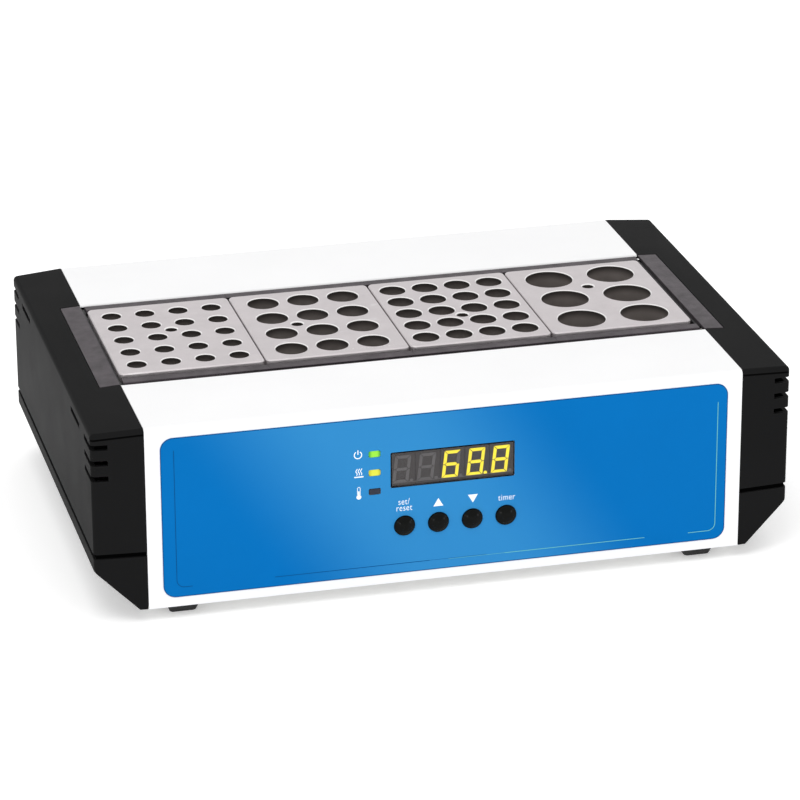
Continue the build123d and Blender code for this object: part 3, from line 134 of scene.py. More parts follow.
def new_group(name: str, inputs: dict[str, float], output: str) -> tuple[bpy.types.NodeTree, Tree]:
    """Makes an empty shader node group with float inputs and one float output.

    Args:
        name: The group's name.
        inputs: Input names with their default values.
        output: The output's name.

    Returns:
        The group and a helper to build in it.
    """
    group = bpy.data.node_groups.new(name, "ShaderNodeTree")
    for label, value in inputs.items():
        socket = group.interface.new_socket(label, in_out="INPUT", socket_type="NodeSocketFloat")
        socket.default_value = value
    group.interface.new_socket(output, in_out="OUTPUT", socket_type="NodeSocketFloat")
    return group, Tree(group)


def close_group(group: bpy.types.NodeTree, name: str, value: bpy.types.NodeSocket) -> bpy.types.NodeTree:
    """Sends a value to a group's named output and gives the group."""
    leave = group.nodes.new("NodeGroupOutput")
    group.links.new(value, leave.inputs[name])
    return group


def mottle_group() -> bpy.types.NodeTree:
    """Soft mottling: fractal noise on Object coordinates, spread between a low and a high value."""
    group, tree = new_group("mottle", {"Scale": 100.0, "Detail": 3.0, "Low": 0.0, "High": 1.0}, "Value")
    entry = tree.add("TexCoord")
    given = group.nodes.new("NodeGroupInput")
    noise = tree.add("TexNoise", Vector=entry.outputs["Object"], Scale=given.outputs["Scale"],
                     Detail=given.outputs["Detail"])
    spread = tree.add("MapRange", Value=noise.outputs[0], From_Min=0.3, From_Max=0.7,
                      To_Min=given.outputs["Low"], To_Max=given.outputs["High"])
    return close_group(group, "Value", spread.outputs[0])


def streak_group() -> bpy.types.NodeTree:
    """Fine parallel streaks: noise on coordinates squeezed by a different amount along each axis."""
    sizes = {"Along X": 1.0, "Along Y": 1.0, "Along Z": 1.0, "Scale": 400.0}
    group, tree = new_group("streaks", sizes, "Value")
    entry = tree.add("TexCoord")
    given = group.nodes.new("NodeGroupInput")
    stretch = tree.add("CombineXYZ", X=given.outputs["Along X"], Y=given.outputs["Along Y"],
                       Z=given.outputs["Along Z"])
    place = tree.add("Mapping", Vector=entry.outputs["Object"], Scale=stretch.outputs[0])
    noise = tree.add("TexNoise", Vector=place.outputs[0], Scale=given.outputs["Scale"], Detail=4.0)
    return close_group(group, "Value", noise.outputs[0])


def edge_group() -> bpy.types.NodeTree:
    """Edge mask: one where the rounded normal leaves the true one, broken up by noise."""
    group, tree = new_group("edge_wear", {"Radius": 0.0004, "Break Up": 0.5}, "Mask")
    given = group.nodes.new("NodeGroupInput")
    rounded = tree.add("Bevel", Radius=given.outputs["Radius"])
    rounded.samples = 4
    true = tree.add("NewGeometry")
    dot = tree.add("VectorMath")
    dot.operation = "DOT_PRODUCT"
    tree.put(dot, 0, rounded.outputs[0])
    tree.put(dot, 1, true.outputs["Normal"])
    edge = tree.ramp(dot.outputs["Value"], 0.995, 0.88)
    entry = tree.add("TexCoord")
    noise = tree.add("TexNoise", Vector=entry.outputs["Object"], Scale=260.0, Detail=4.0)
    gaps = tree.ramp(noise.outputs[0], 0.35, 0.6)
    kept = tree.math("SUBTRACT", 1.0, given.outputs["Break Up"])
    broken = tree.math("MAXIMUM", gaps, kept)
    return close_group(group, "Mask", tree.math("MULTIPLY", edge, broken))


class Shared:
    """The node groups that several finishes place in their materials."""

    def __init__(self) -> None:
        """Builds every group once."""
        self.mottle = mottle_group()
        self.streaks = streak_group()
        self.edges = edge_group()

    def use(self, tree: Tree, group: bpy.types.NodeTree, **values: float) -> bpy.types.NodeSocket:
        """Places a group in a material with its own values and gives its output."""
        node = tree.tree.nodes.new("ShaderNodeGroup")
        node.node_tree = group
        for name, value in values.items():
            tree.put(node, name.replace("_", " "), value)
        return node.outputs[0]


shared = Shared()


# ---------------------------------------------------------------- finishes
@dataclass(frozen=True)
class Finish:
    """A finish with mottled colour and roughness, a fine grain and worn edges.

    Grain and mottle are given as patterns per metre, bump heights in metres.
    """

    name: str
    colour: Colour
    roughness: float = 0.45
    metallic: float = 0.0
    tint: float = 0.06
    tint_scale: float = 40.0
    rough_spread: float = 0.06
    grain_scale: float = 2500.0
    grain_height: float = 0.00002
    edge_colour: Colour | None = None
    edge_amount: float = 0.4
    edge_radius: float = 0.0004
    coat: float = 0.0
    specular: float = 0.5

    def base(self, tree: Tree) -> bpy.types.NodeSocket:
        """The colour, darkened and lightened by broad mottling and worn at the edges."""
        shade = shared.use(tree, shared.mottle, Scale=self.tint_scale, Detail=4.0)
        dark = tuple(c * (1 - self.tint) for c in self.colour)
        light = tuple(min(1.0, c * (1 + self.tint)) for c in self.colour)
        colour = tree.mix(shade, dark, light)
        if self.edge_colour is None:
            return colour
        worn = shared.use(tree, shared.edges, Radius=self.edge_radius)
        return tree.mix(tree.math("MULTIPLY", worn, self.edge_amount), colour, self.edge_colour)

    def rough(self, tree: Tree) -> bpy.types.NodeSocket:
        """The roughness, varied in patches such as handling leaves."""
        low, high = self.roughness - self.rough_spread, self.roughness + self.rough_spread
        return shared.use(tree, shared.mottle, Scale=self.tint_scale * 3.1, Detail=5.0, Low=low, High=high)

    def height(self, tree: Tree) -> bpy.types.NodeSocket:
        """The grain's height."""
        return shared.use(tree, shared.mottle, Scale=self.grain_scale, Detail=2.0)

    def extra(self, tree: Tree, shader: bpy.types.Node) -> None:
        """Anything a finish adds to its shader: nothing here."""

    def make(self) -> bpy.types.Material:
        """Builds the material.

        Returns:
            A material whose colour, roughness and bump come from its nodes.
        """
        material = bpy.data.materials.new(self.name)
        material.use_nodes = True
        tree = Tree(material.node_tree)
        shader = material.node_tree.nodes["Principled BSDF"]
        tree.put(shader, "Base Color", self.base(tree))
        tree.put(shader, "Roughness", self.rough(tree))
        shader.inputs["Metallic"].default_value = self.metallic
        shader.inputs["Coat Weight"].default_value = self.coat
        shader.inputs["Specular IOR Level"].default_value = self.specular
        bump = tree.add("Bump", Height=self.height(tree), Distance=self.grain_height)
        tree.put(shader, "Normal", bump.outputs[0])
        self.extra(tree, shader)
        return material


@dataclass(frozen=True)
class BlastedBlock(Finish):
    """Bead-blasted aluminium, with pale rubbed streaks and specks near the front edge."""

    scuff: Colour = (0.86, 0.85, 0.85)
    speck_y: float = -0.0436
    speck_reach: float = 0.0013
    speck_x: tuple[float, float] = (-0.045, 0.060)
    speck_scale: float = 1100.0
    speck_span: tuple[float, float] = (0.55, 0.66)
    speck_amount: float = 0.55
    rub_scale: float = 150.0
    rub_span: tuple[float, float] = (0.66, 0.76)
    rub_amount: float = 0.35

    def base(self, tree: Tree) -> bpy.types.NodeSocket:
        """Mottled metal with rubbed streaks, and a band of specks where |y - speck_y| is small."""
        colour = super().base(tree)
        streaks = shared.use(tree, shared.streaks, Along_X=0.35, Scale=self.rub_scale)
        rubbed = tree.math("MULTIPLY", tree.ramp(streaks, *self.rub_span), self.rub_amount)
        x, y, _ = tree.axes()
        band = tree.ramp(tree.away(y, self.speck_y), self.speck_reach, self.speck_reach * 0.6)
        low, high = self.speck_x
        middle, half = (low + high) / 2, (high - low) / 2
        band = tree.math("MULTIPLY", band, tree.ramp(tree.away(x, middle), half, half * 0.8))
        dots = shared.use(tree, shared.streaks, Scale=self.speck_scale)
        specks = tree.math("MULTIPLY", tree.ramp(dots, *self.speck_span),
                           tree.math("MULTIPLY", band, self.speck_amount))
        return tree.mix(tree.math("MAXIMUM", rubbed, specks), colour, self.scuff)


@dataclass(frozen=True)
class DrilledWell(Finish):
    """The bore of a well, in a colour that carries painted light: near black just under its rim as painted
    shade, lighter further down as a painted reflection, with fine turning rings.
    """

    ring_pitch: float = 0.0009
    dull: Colour = (0.06, 0.052, 0.048)
    painted_shade_depth: float = 0.0008
    painted_reflection_depth: float = 0.0060
    ring_height: float = 0.25

    def base(self, tree: Tree) -> bpy.types.NodeSocket:
        """Mixes the painted rim shade to the lighter painted reflection colour by the depth below the block's
        top.
        """
        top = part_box("block_narrow")[1][2]
        depth = tree.math("SUBTRACT", top, tree.axes()[2])
        # painted light: 0 just under the rim gives painted shade, 1 deeper down gives the painted reflection
        # colour
        lit = tree.ramp(depth, self.painted_shade_depth, self.painted_reflection_depth)
        return tree.mix(lit, self.dull, super().base(tree))

    def height(self, tree: Tree) -> bpy.types.NodeSocket:
        """Grain plus rings: a sine of the height."""
        grain = super().height(tree)
        turns = tree.math("MULTIPLY", tree.axes()[2], 2 * math.pi / self.ring_pitch)
        rings = tree.math("MULTIPLY", tree.math("SINE", turns), self.ring_height)
        return tree.math("ADD", grain, rings)


@dataclass(frozen=True)
class CapPlastic(Finish):
    """Moulded cap plastic, with a narrow black line of painted shadow under the front and rear creases."""

    seam: float = 0.1565
    fall: float = 0.0566
    shadow_line_depth: float = 0.0029
    shadow_line_half: float = 0.0004
    shadow_line_colour: Colour = (0.0006, 0.0006, 0.0006)
    face: float = 0.118
    face_soft: float = 0.0005

    def base(self, tree: Tree) -> bpy.types.NodeSocket:
        """Paints a band of shadow at one depth under the top, which falls by fall * (|x| - seam)."""
        x, y, z = tree.axes()
        out = tree.math("SUBTRACT", tree.math("ABSOLUTE", x), self.seam)
        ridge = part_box("left_end_cap_upper")[1][2]
        top = tree.math("SUBTRACT", ridge, tree.math("MULTIPLY", out, self.fall))
        depth = tree.math("SUBTRACT", top, z)
        # painted shadow: the black line under the crease
        line = tree.ramp(tree.away(depth, self.shadow_line_depth), self.shadow_line_half * 1.5, self.shadow_line_half)
        ends = tree.ramp(tree.math("ABSOLUTE", y), self.face - self.face_soft, self.face)
        return tree.mix(tree.math("MULTIPLY", line, ends), super().base(tree), self.shadow_line_colour)


@dataclass(frozen=True)
class LabelFilm(Finish):
    """Printed film: a blue that is paler in a broad slanting band across its middle."""

    pale: Colour = (0.029, 0.228, 0.515)
    band_centre: float = 0.021
    band_slant: float = -0.675
    band_inner: float = 0.018
    band_outer: float = 0.100

    def base(self, tree: Tree) -> bpy.types.NodeSocket:
        """The blue, mixed to the pale by the distance from the band's slanting centre line."""
        x, _, z = tree.axes()
        middle = tree.math("ADD", tree.math("MULTIPLY", z, self.band_slant), self.band_centre)
        band = tree.ramp(tree.away(x, middle), self.band_outer, self.band_inner)
        return tree.mix(band, super().base(tree), self.pale)


@dataclass(frozen=True)
class Brushed(Finish):
    """Metal with streaks along one axis."""

    along: tuple[float, float, float] = (0.02, 1.0, 1.0)

    def height(self, tree: Tree) -> bpy.types.NodeSocket:
        """Streaks in place of grain."""
        x, y, z = self.along
        return shared.use(tree, shared.streaks, Along_X=x, Along_Y=y, Along_Z=z, Scale=self.grain_scale)


@dataclass(frozen=True)
class Glow(Finish):
    """A lit diffuser, which gives off its own colour a little unevenly."""

    glow: Colour = (1.0, 0.8, 0.05)
    strength: float = 1.0

    def extra(self, tree: Tree, shader: bpy.types.Node) -> None:
        """Gives off light that varies a little over the surface."""
        shade = shared.use(tree, shared.mottle, Scale=700.0, Detail=2.0)
        dim = tuple(c * 0.88 for c in self.glow)
        tree.put(shader, "Emission Color", tree.mix(shade, dim, self.glow))
        shader.inputs["Emission Strength"].default_value = self.strength


@dataclass(frozen=True)
class LampGlow(Glow):
    """A lit lamp lens: its light gathers at the middle and fades to its two ends."""

    rim: Colour = (0.1, 0.3, 0.02)
    middle: float = -0.0387
    bright: float = 0.0012
    faded: float = 0.0028

    def extra(self, tree: Tree, shader: bpy.types.Node) -> None:
        """Mixes the glow to the rim colour by the distance from the lamp's middle."""
        ends = tree.ramp(tree.away(tree.axes()[0], self.middle), self.bright, self.faded)
        tree.put(shader, "Emission Color", tree.mix(ends, self.glow, self.rim))
        shader.inputs["Emission Strength"].default_value = self.strength


@dataclass(frozen=True)
class Clear(Finish):
    """A see-through tinted plastic or glass, by alpha."""

    alpha: float = 0.4
    alpha_spread: float = 0.04

    def extra(self, tree: Tree, shader: bpy.types.Node) -> None:
        """Lets through what lies behind, a little less where it is smeared."""
        low, high = self.alpha - self.alpha_spread, self.alpha + self.alpha_spread
        smear = shared.use(tree, shared.mottle, Scale=90.0, Detail=3.0, Low=low, High=high)
        tree.put(shader, "Alpha", smear)


class Look(Enum):
    """Every finish on the heater."""

    PAINT = Finish("white_powder_coat", (0.85, 0.85, 0.855), roughness=0.38, tint=0.012, tint_scale=18.0,
                   grain_scale=1500.0, grain_height=0.00003, edge_colour=(0.9, 0.9, 0.9), edge_amount=0.3)
    CAP = CapPlastic("black_cap_plastic", (0.0095, 0.0095, 0.0097), roughness=0.5, tint=0.05,
                     tint_scale=12.0, rough_spread=0.02, grain_scale=3800.0, grain_height=0.000015,
                     edge_colour=(0.024, 0.024, 0.025), edge_amount=0.5, edge_radius=0.0005, specular=0.016)
    # Near-black matte put where there is only shade: painted shadow in gaps, grooves and round the window.
    RECESS = Finish("black_painted_shadow", (0.0015, 0.0015, 0.0015), roughness=0.8, tint=0.1, specular=0.0)
    TRIM = Finish("dark_satin_trim", (0.052, 0.043, 0.049), roughness=0.42, tint=0.30, tint_scale=85.0,
                  grain_scale=3000.0, grain_height=0.00002, edge_colour=(0.15, 0.135, 0.145), specular=0.18)
    BLOCK = BlastedBlock("bead_blasted_block", (0.60, 0.563, 0.572), roughness=0.5, metallic=0.85, tint=0.035,
                         tint_scale=90.0, rough_spread=0.05, grain_scale=3200.0, grain_height=0.00005,
                         edge_colour=(0.95, 0.93, 0.93), edge_amount=0.7, edge_radius=0.0005)
    # Bore colour darker than the block's metal: painted shade inside the wells.
    WELL = DrilledWell("well_painted_shade", (0.32, 0.285, 0.27), roughness=0.38, metallic=0.55, tint=0.12,
                       tint_scale=60.0, grain_scale=2200.0, grain_height=0.000008, specular=0.3)
    # Rim chamfers: cut metal, made brighter than the block's top as a painted highlight.
    RIM = Finish("cut_rim_painted_highlight", (0.85, 0.835, 0.83), roughness=0.35, tint=0.02, tint_scale=300.0,
                 grain_scale=3000.0, grain_height=0.00001, specular=0.2)
    LABEL = LabelFilm("blue_label_film", (0.0004, 0.141, 0.432), roughness=0.42, tint=0.02, tint_scale=25.0,
                      grain_scale=4200.0, grain_height=0.000012, specular=0.03)
    INK_WHITE = Finish("white_ink", (0.88, 0.93, 0.97), roughness=0.5, tint=0.03, tint_scale=800.0,
                       grain_scale=5000.0, grain_height=0.000004)
    INK_GREEN = Finish("green_ink", (0.12, 0.47, 0.42), roughness=0.5, tint=0.05, tint_scale=600.0,
                       grain_scale=5000.0, grain_height=0.000004)
    INK_NAVY = Finish("navy_ink", (0.002, 0.060, 0.19), roughness=0.5, tint=0.05, tint_scale=600.0,
                      grain_scale=5000.0, grain_height=0.000004, specular=0.03)
    LENS = Clear("smoked_window", (0.05, 0.045, 0.045), roughness=0.22, tint=0.05, grain_scale=1800.0,
                 grain_height=0.000004, alpha=0.35)
    MODULE = Finish("digit_module", (0.085, 0.078, 0.078), roughness=0.6, tint=0.05, tint_scale=500.0,
                    grain_scale=3000.0, specular=0.1)
    # Near-black sheet behind the modules: painted shadow of the window's recess.
    BEZEL = Finish("window_painted_shadow_surround", (0.010, 0.009, 0.009), roughness=0.6, tint=0.1, tint_scale=300.0,
                   specular=0.1)
    SEGMENT_OFF = Finish("unlit_segment", (0.185, 0.178, 0.180), roughness=0.6, tint=0.04, tint_scale=900.0,
                         specular=0.1)
    SEGMENT_LIT = Glow("lit_segment", (0.5, 0.42, 0.02), roughness=0.4, glow=(1.0, 0.80, 0.030), strength=1.3)
    LAMP_GREEN = LampGlow("green_lamp", (0.03, 0.12, 0.01), roughness=0.35, specular=0.3,
                          glow=(0.36, 0.84, 0.045), rim=(0.06, 0.36, 0.02), strength=0.9)
    LAMP_YELLOW = LampGlow("yellow_lamp", (0.2, 0.16, 0.01), roughness=0.35, specular=0.3,
                           glow=(0.74, 0.82, 0.055), rim=(0.46, 0.50, 0.02), strength=0.82)
    LAMP_OFF = Finish("unlit_lamp", (0.028, 0.030, 0.045), roughness=0.45, tint=0.1, tint_scale=500.0,
                      specular=0.15)
    BUTTON = Finish("black_button_plastic", (0.0035, 0.0040, 0.0035), roughness=0.16, rough_spread=0.02,
                    tint=0.12, tint_scale=300.0, grain_scale=2600.0, grain_height=0.000002, specular=0.07)
    RUBBER = Finish("foot_rubber", (0.0055, 0.0055, 0.0055), roughness=0.75, tint=0.2, tint_scale=200.0,
                    grain_scale=2200.0, grain_height=0.00005, edge_colour=(0.016, 0.016, 0.016),
                    specular=0.08)
    MOULDED = Finish("moulded_fittings", (0.028, 0.028, 0.030), roughness=0.42, tint=0.12, tint_scale=90.0,
                     grain_scale=3600.0, grain_height=0.00002, edge_colour=(0.09, 0.09, 0.09))
    ZINC = Finish("zinc_plated_steel", (0.62, 0.62, 0.60), roughness=0.36, metallic=0.95, tint=0.12,
                  tint_scale=220.0, grain_scale=900.0, grain_height=0.00001, edge_colour=(0.85, 0.85, 0.85))
    DARK_STEEL = Brushed("blackened_steel", (0.035, 0.033, 0.034), roughness=0.45, metallic=0.6, tint=0.1,
                         grain_scale=500.0, grain_height=0.00002)
    MILLED = Brushed("milled_aluminium", (0.75, 0.75, 0.76), roughness=0.35, metallic=0.9, tint=0.05,
                     grain_scale=700.0, grain_height=0.00002, along=(1.0, 0.03, 1.0))
    BRASS = Finish("plated_brass", (0.78, 0.60, 0.28), roughness=0.3, metallic=0.95, tint=0.1,
                   tint_scale=300.0, grain_height=0.00001)
    FUSE = Clear("fuse_glass", (0.85, 0.88, 0.88), roughness=0.1, tint=0.03, alpha=0.45)
    SILICONE = Finish("silicone_mat", (0.45, 0.10, 0.05), roughness=0.6, tint=0.1, grain_scale=1200.0,
                      grain_height=0.0001)
    FIBRE = Finish("pressed_fibre", (0.76, 0.73, 0.66), roughness=0.9, tint=0.15, tint_scale=400.0,
                   grain_scale=1500.0, grain_height=0.0003)
    CERAMIC = Finish("unglazed_ceramic", (0.86, 0.84, 0.78), roughness=0.7, tint=0.05, grain_height=0.00004)
    WINDING = Brushed("taped_winding", (0.50, 0.36, 0.10), roughness=0.5, tint=0.15, grain_scale=900.0,
                      grain_height=0.0002, along=(1.0, 1.0, 0.05))
    CORE = Brushed("laminated_core", (0.16, 0.16, 0.17), roughness=0.5, metallic=0.6, grain_scale=1400.0,
                   grain_height=0.0001, along=(0.03, 1.0, 0.03))
    BOARD = Finish("board_resist", (0.015, 0.15, 0.06), roughness=0.35, tint=0.25, tint_scale=250.0,
                   grain_scale=800.0, grain_height=0.00002, coat=0.3)
    SLEEVE = Finish("wire_sleeve", (0.09, 0.07, 0.07), roughness=0.45, tint=0.1, tint_scale=120.0)
    TERMINAL = Finish("terminal_plastic", (0.03, 0.22, 0.09), roughness=0.4, tint=0.08, tint_scale=200.0)

    def material(self) -> bpy.types.Material:
        """The material, built the first time it is asked for."""
        found = bpy.data.materials.get(self.value.name)
        return found if found is not None else self.value.make()


# ---------------------------------------------------------------- mesh helpers
def finish_piece(name: str, mesh: bpy.types.Mesh, body: str, looks: Sequence[Look],
                 replaces: Sequence[str] = ()) -> bpy.types.Object:
    """Makes the object for a mesh and says what it is.

    Args:
        name: The piece's name.
        mesh: Its mesh, already in place.
        body: The body it rides.
        looks: Its finishes, in material index order.
        replaces: The frame nodes it stands for.

    Returns:
        The piece.
    """
    mesh.materials.clear()
    for look in looks:
        mesh.materials.append(look.material())
    piece = bpy.data.objects.new(name, mesh)
    bpy.context.scene.collection.objects.link(piece)
    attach(piece, body)
    if replaces:
        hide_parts(*replaces)
    log.info("piece %s on %s: %d faces", name, body, len(mesh.polygons))
    return piece


def mesh_from(name: str, points: Array, faces: Array | Sequence, smooth: bool = True,
              sharp: float = 40.0) -> bpy.types.Mesh:
    """A mesh from point and face arrays, merged, with outward normals and sharp edges by angle."""
    mesh = bpy.data.meshes.new(name)
    listed = faces.tolist() if isinstance(faces, np.ndarray) else faces
    mesh.from_pydata(np.asarray(points, float).tolist(), [], listed)
    tidy_mesh(mesh)
    shade(mesh, smooth, sharp)
    return mesh


def tidy_mesh(mesh: bpy.types.Mesh) -> None:
    """Merges doubled points, drops empty faces and turns the faces outwards."""
    work = bmesh.new()
    work.from_mesh(mesh)
    bmesh.ops.remove_doubles(work, verts=work.verts, dist=1e-6)
    bmesh.ops.dissolve_degenerate(work, edges=work.edges, dist=1e-7)
    bmesh.ops.recalc_face_normals(work, faces=work.faces)
    work.to_mesh(mesh)
    work.free()


def shade(mesh: bpy.types.Mesh, smooth: bool, sharp: float) -> None:
    """Shades a mesh smooth, but sharp across edges that bend more than an angle in degrees."""
    mesh.polygons.foreach_set("use_smooth", np.full(len(mesh.polygons), smooth))
    if smooth:
        mesh.set_sharp_from_angle(angle=math.radians(sharp))
    mesh.update()


def face_vectors(mesh: bpy.types.Mesh, kind: str) -> Array:
    """The centre or the normal of every face, a row each."""
    values = np.empty(len(mesh.polygons) * 3)
    mesh.polygons.foreach_get(kind, values)
    return values.reshape(-1, 3)


def give_finishes(mesh: bpy.types.Mesh, looks: Sequence[Look], index: Array) -> None:
    """Adds finishes to a mesh and gives each face the one at its index."""
    for look in looks:
        mesh.materials.append(look.material())
    mesh.polygons.foreach_set("material_index", index.astype(np.int32))


def fixed_piece(name: str, shape: tuple[Array, object], look: Look) -> None:
    """A flat-shaded piece that rides the chassis and stands for no frame node."""
    finish_piece(name, mesh_from(name, *shape, smooth=False), ROOT, [look])


def grid_faces(rows: int, columns: int, wrap: bool = False) -> Array:
    """Quads of a grid of points stored row by row.

    Corner (i, j) has index i * columns + j, and each quad joins it with the next row and the next
    column. With wrap, the last column joins the first.
    """
    across = columns if wrap else columns - 1
    i, j = np.meshgrid(np.arange(rows - 1), np.arange(across), indexing="ij")
    near, far = i * columns + j, i * columns + (j + 1) % columns
    quads = np.stack([near, far, far + columns, near + columns], -1)
    return quads.reshape(-1, 4)


def lathe(profile: Array, centre: Sequence[float], axis: Vector, steps: int = 48) -> tuple[Array, Array]:
    """A profile of (radius, height) points turned about an axis through a centre.

    A point at angle a lies at centre + height * axis + radius * (cos(a) * u + sin(a) * v), with u
    and v square to the axis.
    """
    axis = axis.normalized()
    u = np.array(axis.orthogonal().normalized())
    v = np.cross(np.array(axis), u)
    angle = np.linspace(0, 2 * math.pi, steps, endpoint=False)
    ring = np.cos(angle)[:, None] * u + np.sin(angle)[:, None] * v
    radius, height = profile[:, 0], profile[:, 1]
    points = (np.asarray(centre, float) + height[:, None, None] * np.array(axis)
              + radius[:, None, None] * ring[None])
    return points.reshape(-1, 3), grid_faces(len(profile), steps, wrap=True)


def ribbon(path: Array, width: float, front: float, thickness: float, closed: bool = False,
           ) -> tuple[Array, Array]:
    """A flat strip along a path of (x, z) points, standing up from a depth on the front panel.

    Each point is set off by half the width along the path's left normal and its opposite, in two
    layers a thickness apart.
    """
    ahead = np.roll(path, -1, 0) - path
    behind = path - np.roll(path, 1, 0)
    if not closed:
        ahead[-1], behind[0] = behind[-1], ahead[0]
    tangent = sum(step / np.linalg.norm(step, axis=1)[:, None] for step in (ahead, behind))
    tangent /= np.linalg.norm(tangent, axis=1)[:, None]
    normal = np.stack([-tangent[:, 1], tangent[:, 0]], -1) * width / 2
    left, right = path + normal, path - normal
    layers = [(left, front - thickness), (right, front - thickness), (right, front), (left, front)]
    points = np.stack([np.column_stack([p[:, 0], np.full(len(p), y), p[:, 1]]) for p, y in layers], 1)
    count = len(path)
    faces = grid_faces(count, 4, wrap=True)
    if closed:
        last = (count - 1) * 4
        ends = np.array([[last + k, last + (k + 1) % 4, (k + 1) % 4, k] for k in range(4)])
        return points.reshape(-1, 3), np.vstack([faces, ends])
    caps = np.array([[0, 1, 2, 3], [count * 4 - 4, count * 4 - 3, count * 4 - 2, count * 4 - 1]])
    return points.reshape(-1, 3), np.vstack([faces, caps])


def plate(outline: Array, front: float, thickness: float) -> tuple[Array, list[list[int]]]:
    """A flat closed outline of (x, z) points given thickness from a depth towards -Y."""
    count = len(outline)
    near = np.column_stack([outline[:, 0], np.full(count, front - thickness), outline[:, 1]])
    far = np.column_stack([outline[:, 0], np.full(count, front), outline[:, 1]])
    sides = grid_faces(2, count, wrap=True).tolist()
    return np.vstack([near, far]), [list(range(count)), list(range(count, 2 * count))] + sides


def join(parts: Sequence[tuple[Array, object]]) -> tuple[Array, list[list[int]]]:
    """Several (points, faces) pairs as one."""
    points, faces, start = [], [], 0
    for part_points, part_faces in parts:
        listed = part_faces.tolist() if isinstance(part_faces, np.ndarray) else part_faces
        faces += [[index + start for index in face] for face in listed]
        points.append(part_points)
        start += len(part_points)
    return np.vstack(points), faces


def arc(centre: Sequence[float], radius: float, start: float, end: float, steps: int = 24) -> Array:
    """Points on a circle: centre + radius * (cos a, sin a), with a from start to end in degrees."""
    angle = np.radians(np.linspace(start, end, steps))
    return np.column_stack([centre[0] + radius * np.cos(angle), centre[1] + radius * np.sin(angle)])


def rounded_box(size: Sequence[float], corner: float, steps: int = 8) -> Array:
    """A rectangle's outline about the origin, with its four corners turned as quarter circles."""
    half = np.array(size) / 2 - corner
    signs = [(1, 1), (-1, 1), (-1, -1), (1, -1)]
    return np.vstack([arc(half * sign, corner, 90 * turn, 90 * turn + 90, steps)
                      for turn, sign in enumerate(signs)])


def cad_mesh(node: str) -> bpy.types.Mesh:
    """A merged copy of a frame node's mesh, with its flat faces whole again."""
    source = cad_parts[node].data
    points = np.empty(len(source.vertices) * 3)
    source.vertices.foreach_get("co", points)
    corners = np.empty(len(source.loops), dtype=int)
    source.loops.foreach_get("vertex_index", corners)
    mesh = bpy.data.meshes.new(node + "_shape")
    mesh.from_pydata(points.reshape(-1, 3).tolist(), [], corners.reshape(-1, 3).tolist())
    work = bmesh.new()
    work.from_mesh(mesh)
    bmesh.ops.remove_doubles(work, verts=work.verts, dist=2e-6)
    bmesh.ops.dissolve_degenerate(work, edges=work.edges, dist=1e-7)
    bmesh.ops.dissolve_limit(work, angle_limit=math.radians(0.5), verts=work.verts, edges=work.edges)
    work.to_mesh(mesh)
    work.free()
    return mesh


@dataclass
class Refined:
    """Frame nodes shown as merged copies with small rounded edges."""

    node: str
    body: str
    slot: str
    look: Look
    bevel: float = 0.0003
    segments: int = 2
    sharp: float = 28.0

    def build(self) -> bpy.types.Object:
        """Copies the node, rounds its edges and puts it in the node's place.

        Returns:
            The piece that stands for the node.
        """
        mesh = cad_mesh(self.node)
        shade(mesh, True, self.sharp)
        piece = finish_piece(self.node + "_finished", mesh, self.body, [self.look], [self.node])
        if self.bevel > 0:
            edge = piece.modifiers.new("rounded_edges", "BEVEL")
            edge.width = self.bevel
            edge.segments = self.segments
            edge.limit_method = "ANGLE"
            edge.angle_limit = math.radians(self.sharp)
            edge.harden_normals = True
            edge.use_clamp_overlap = True
        return piece


# ---------------------------------------------------------------- sub-assemblies
@dataclass
class TubeBlocks:
    """The four lift-out blocks."""

    names: tuple[str, ...] = ("block_narrow", "block_wide", "block_medium", "block_large")
    edge: float = 0.00012
    wall: float = 0.001
    rim: float = 0.0007
    mouth: float = 0.00005
    slope: tuple[float, float] = (0.3, 0.95)

    def build(self) -> None:
        """Finishes each block on its own body, with wells in painted shade and reflection and rims lightened
        by a painted highlight.
        """
        for name in self.names:
            piece = Refined(name, name + "_body", "block_aluminium", Look.BLOCK, bevel=self.edge).build()
            self.paint_wells(piece.data, name)

    def paint_wells(self, mesh: bpy.types.Mesh, name: str) -> None:
        """Gives the second finish, with its painted shade, to faces below the rims, and the third, a painted
        highlight, to the rims' slopes.

        Both lie well inside the block's outline; a rim's face looks partly up and starts at the top.
        """
        low, high = (np.array(corner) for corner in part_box(name))
        centres = face_vectors(mesh, "center")
        inset = np.minimum(centres - low, high - centres)
        inside = (inset[:, 0] > self.wall) & (inset[:, 1] > self.wall)
        upward = face_vectors(mesh, "normal")[:, 2]
        buried = (inset[:, 2] > self.rim) & inside
        sloping = (upward > self.slope[0]) & (upward < self.slope[1])
        rims = (inset[:, 2] > self.mouth) & ~buried & inside & sloping
        give_finishes(mesh, [Look.WELL, Look.RIM], buried + 2 * rims)


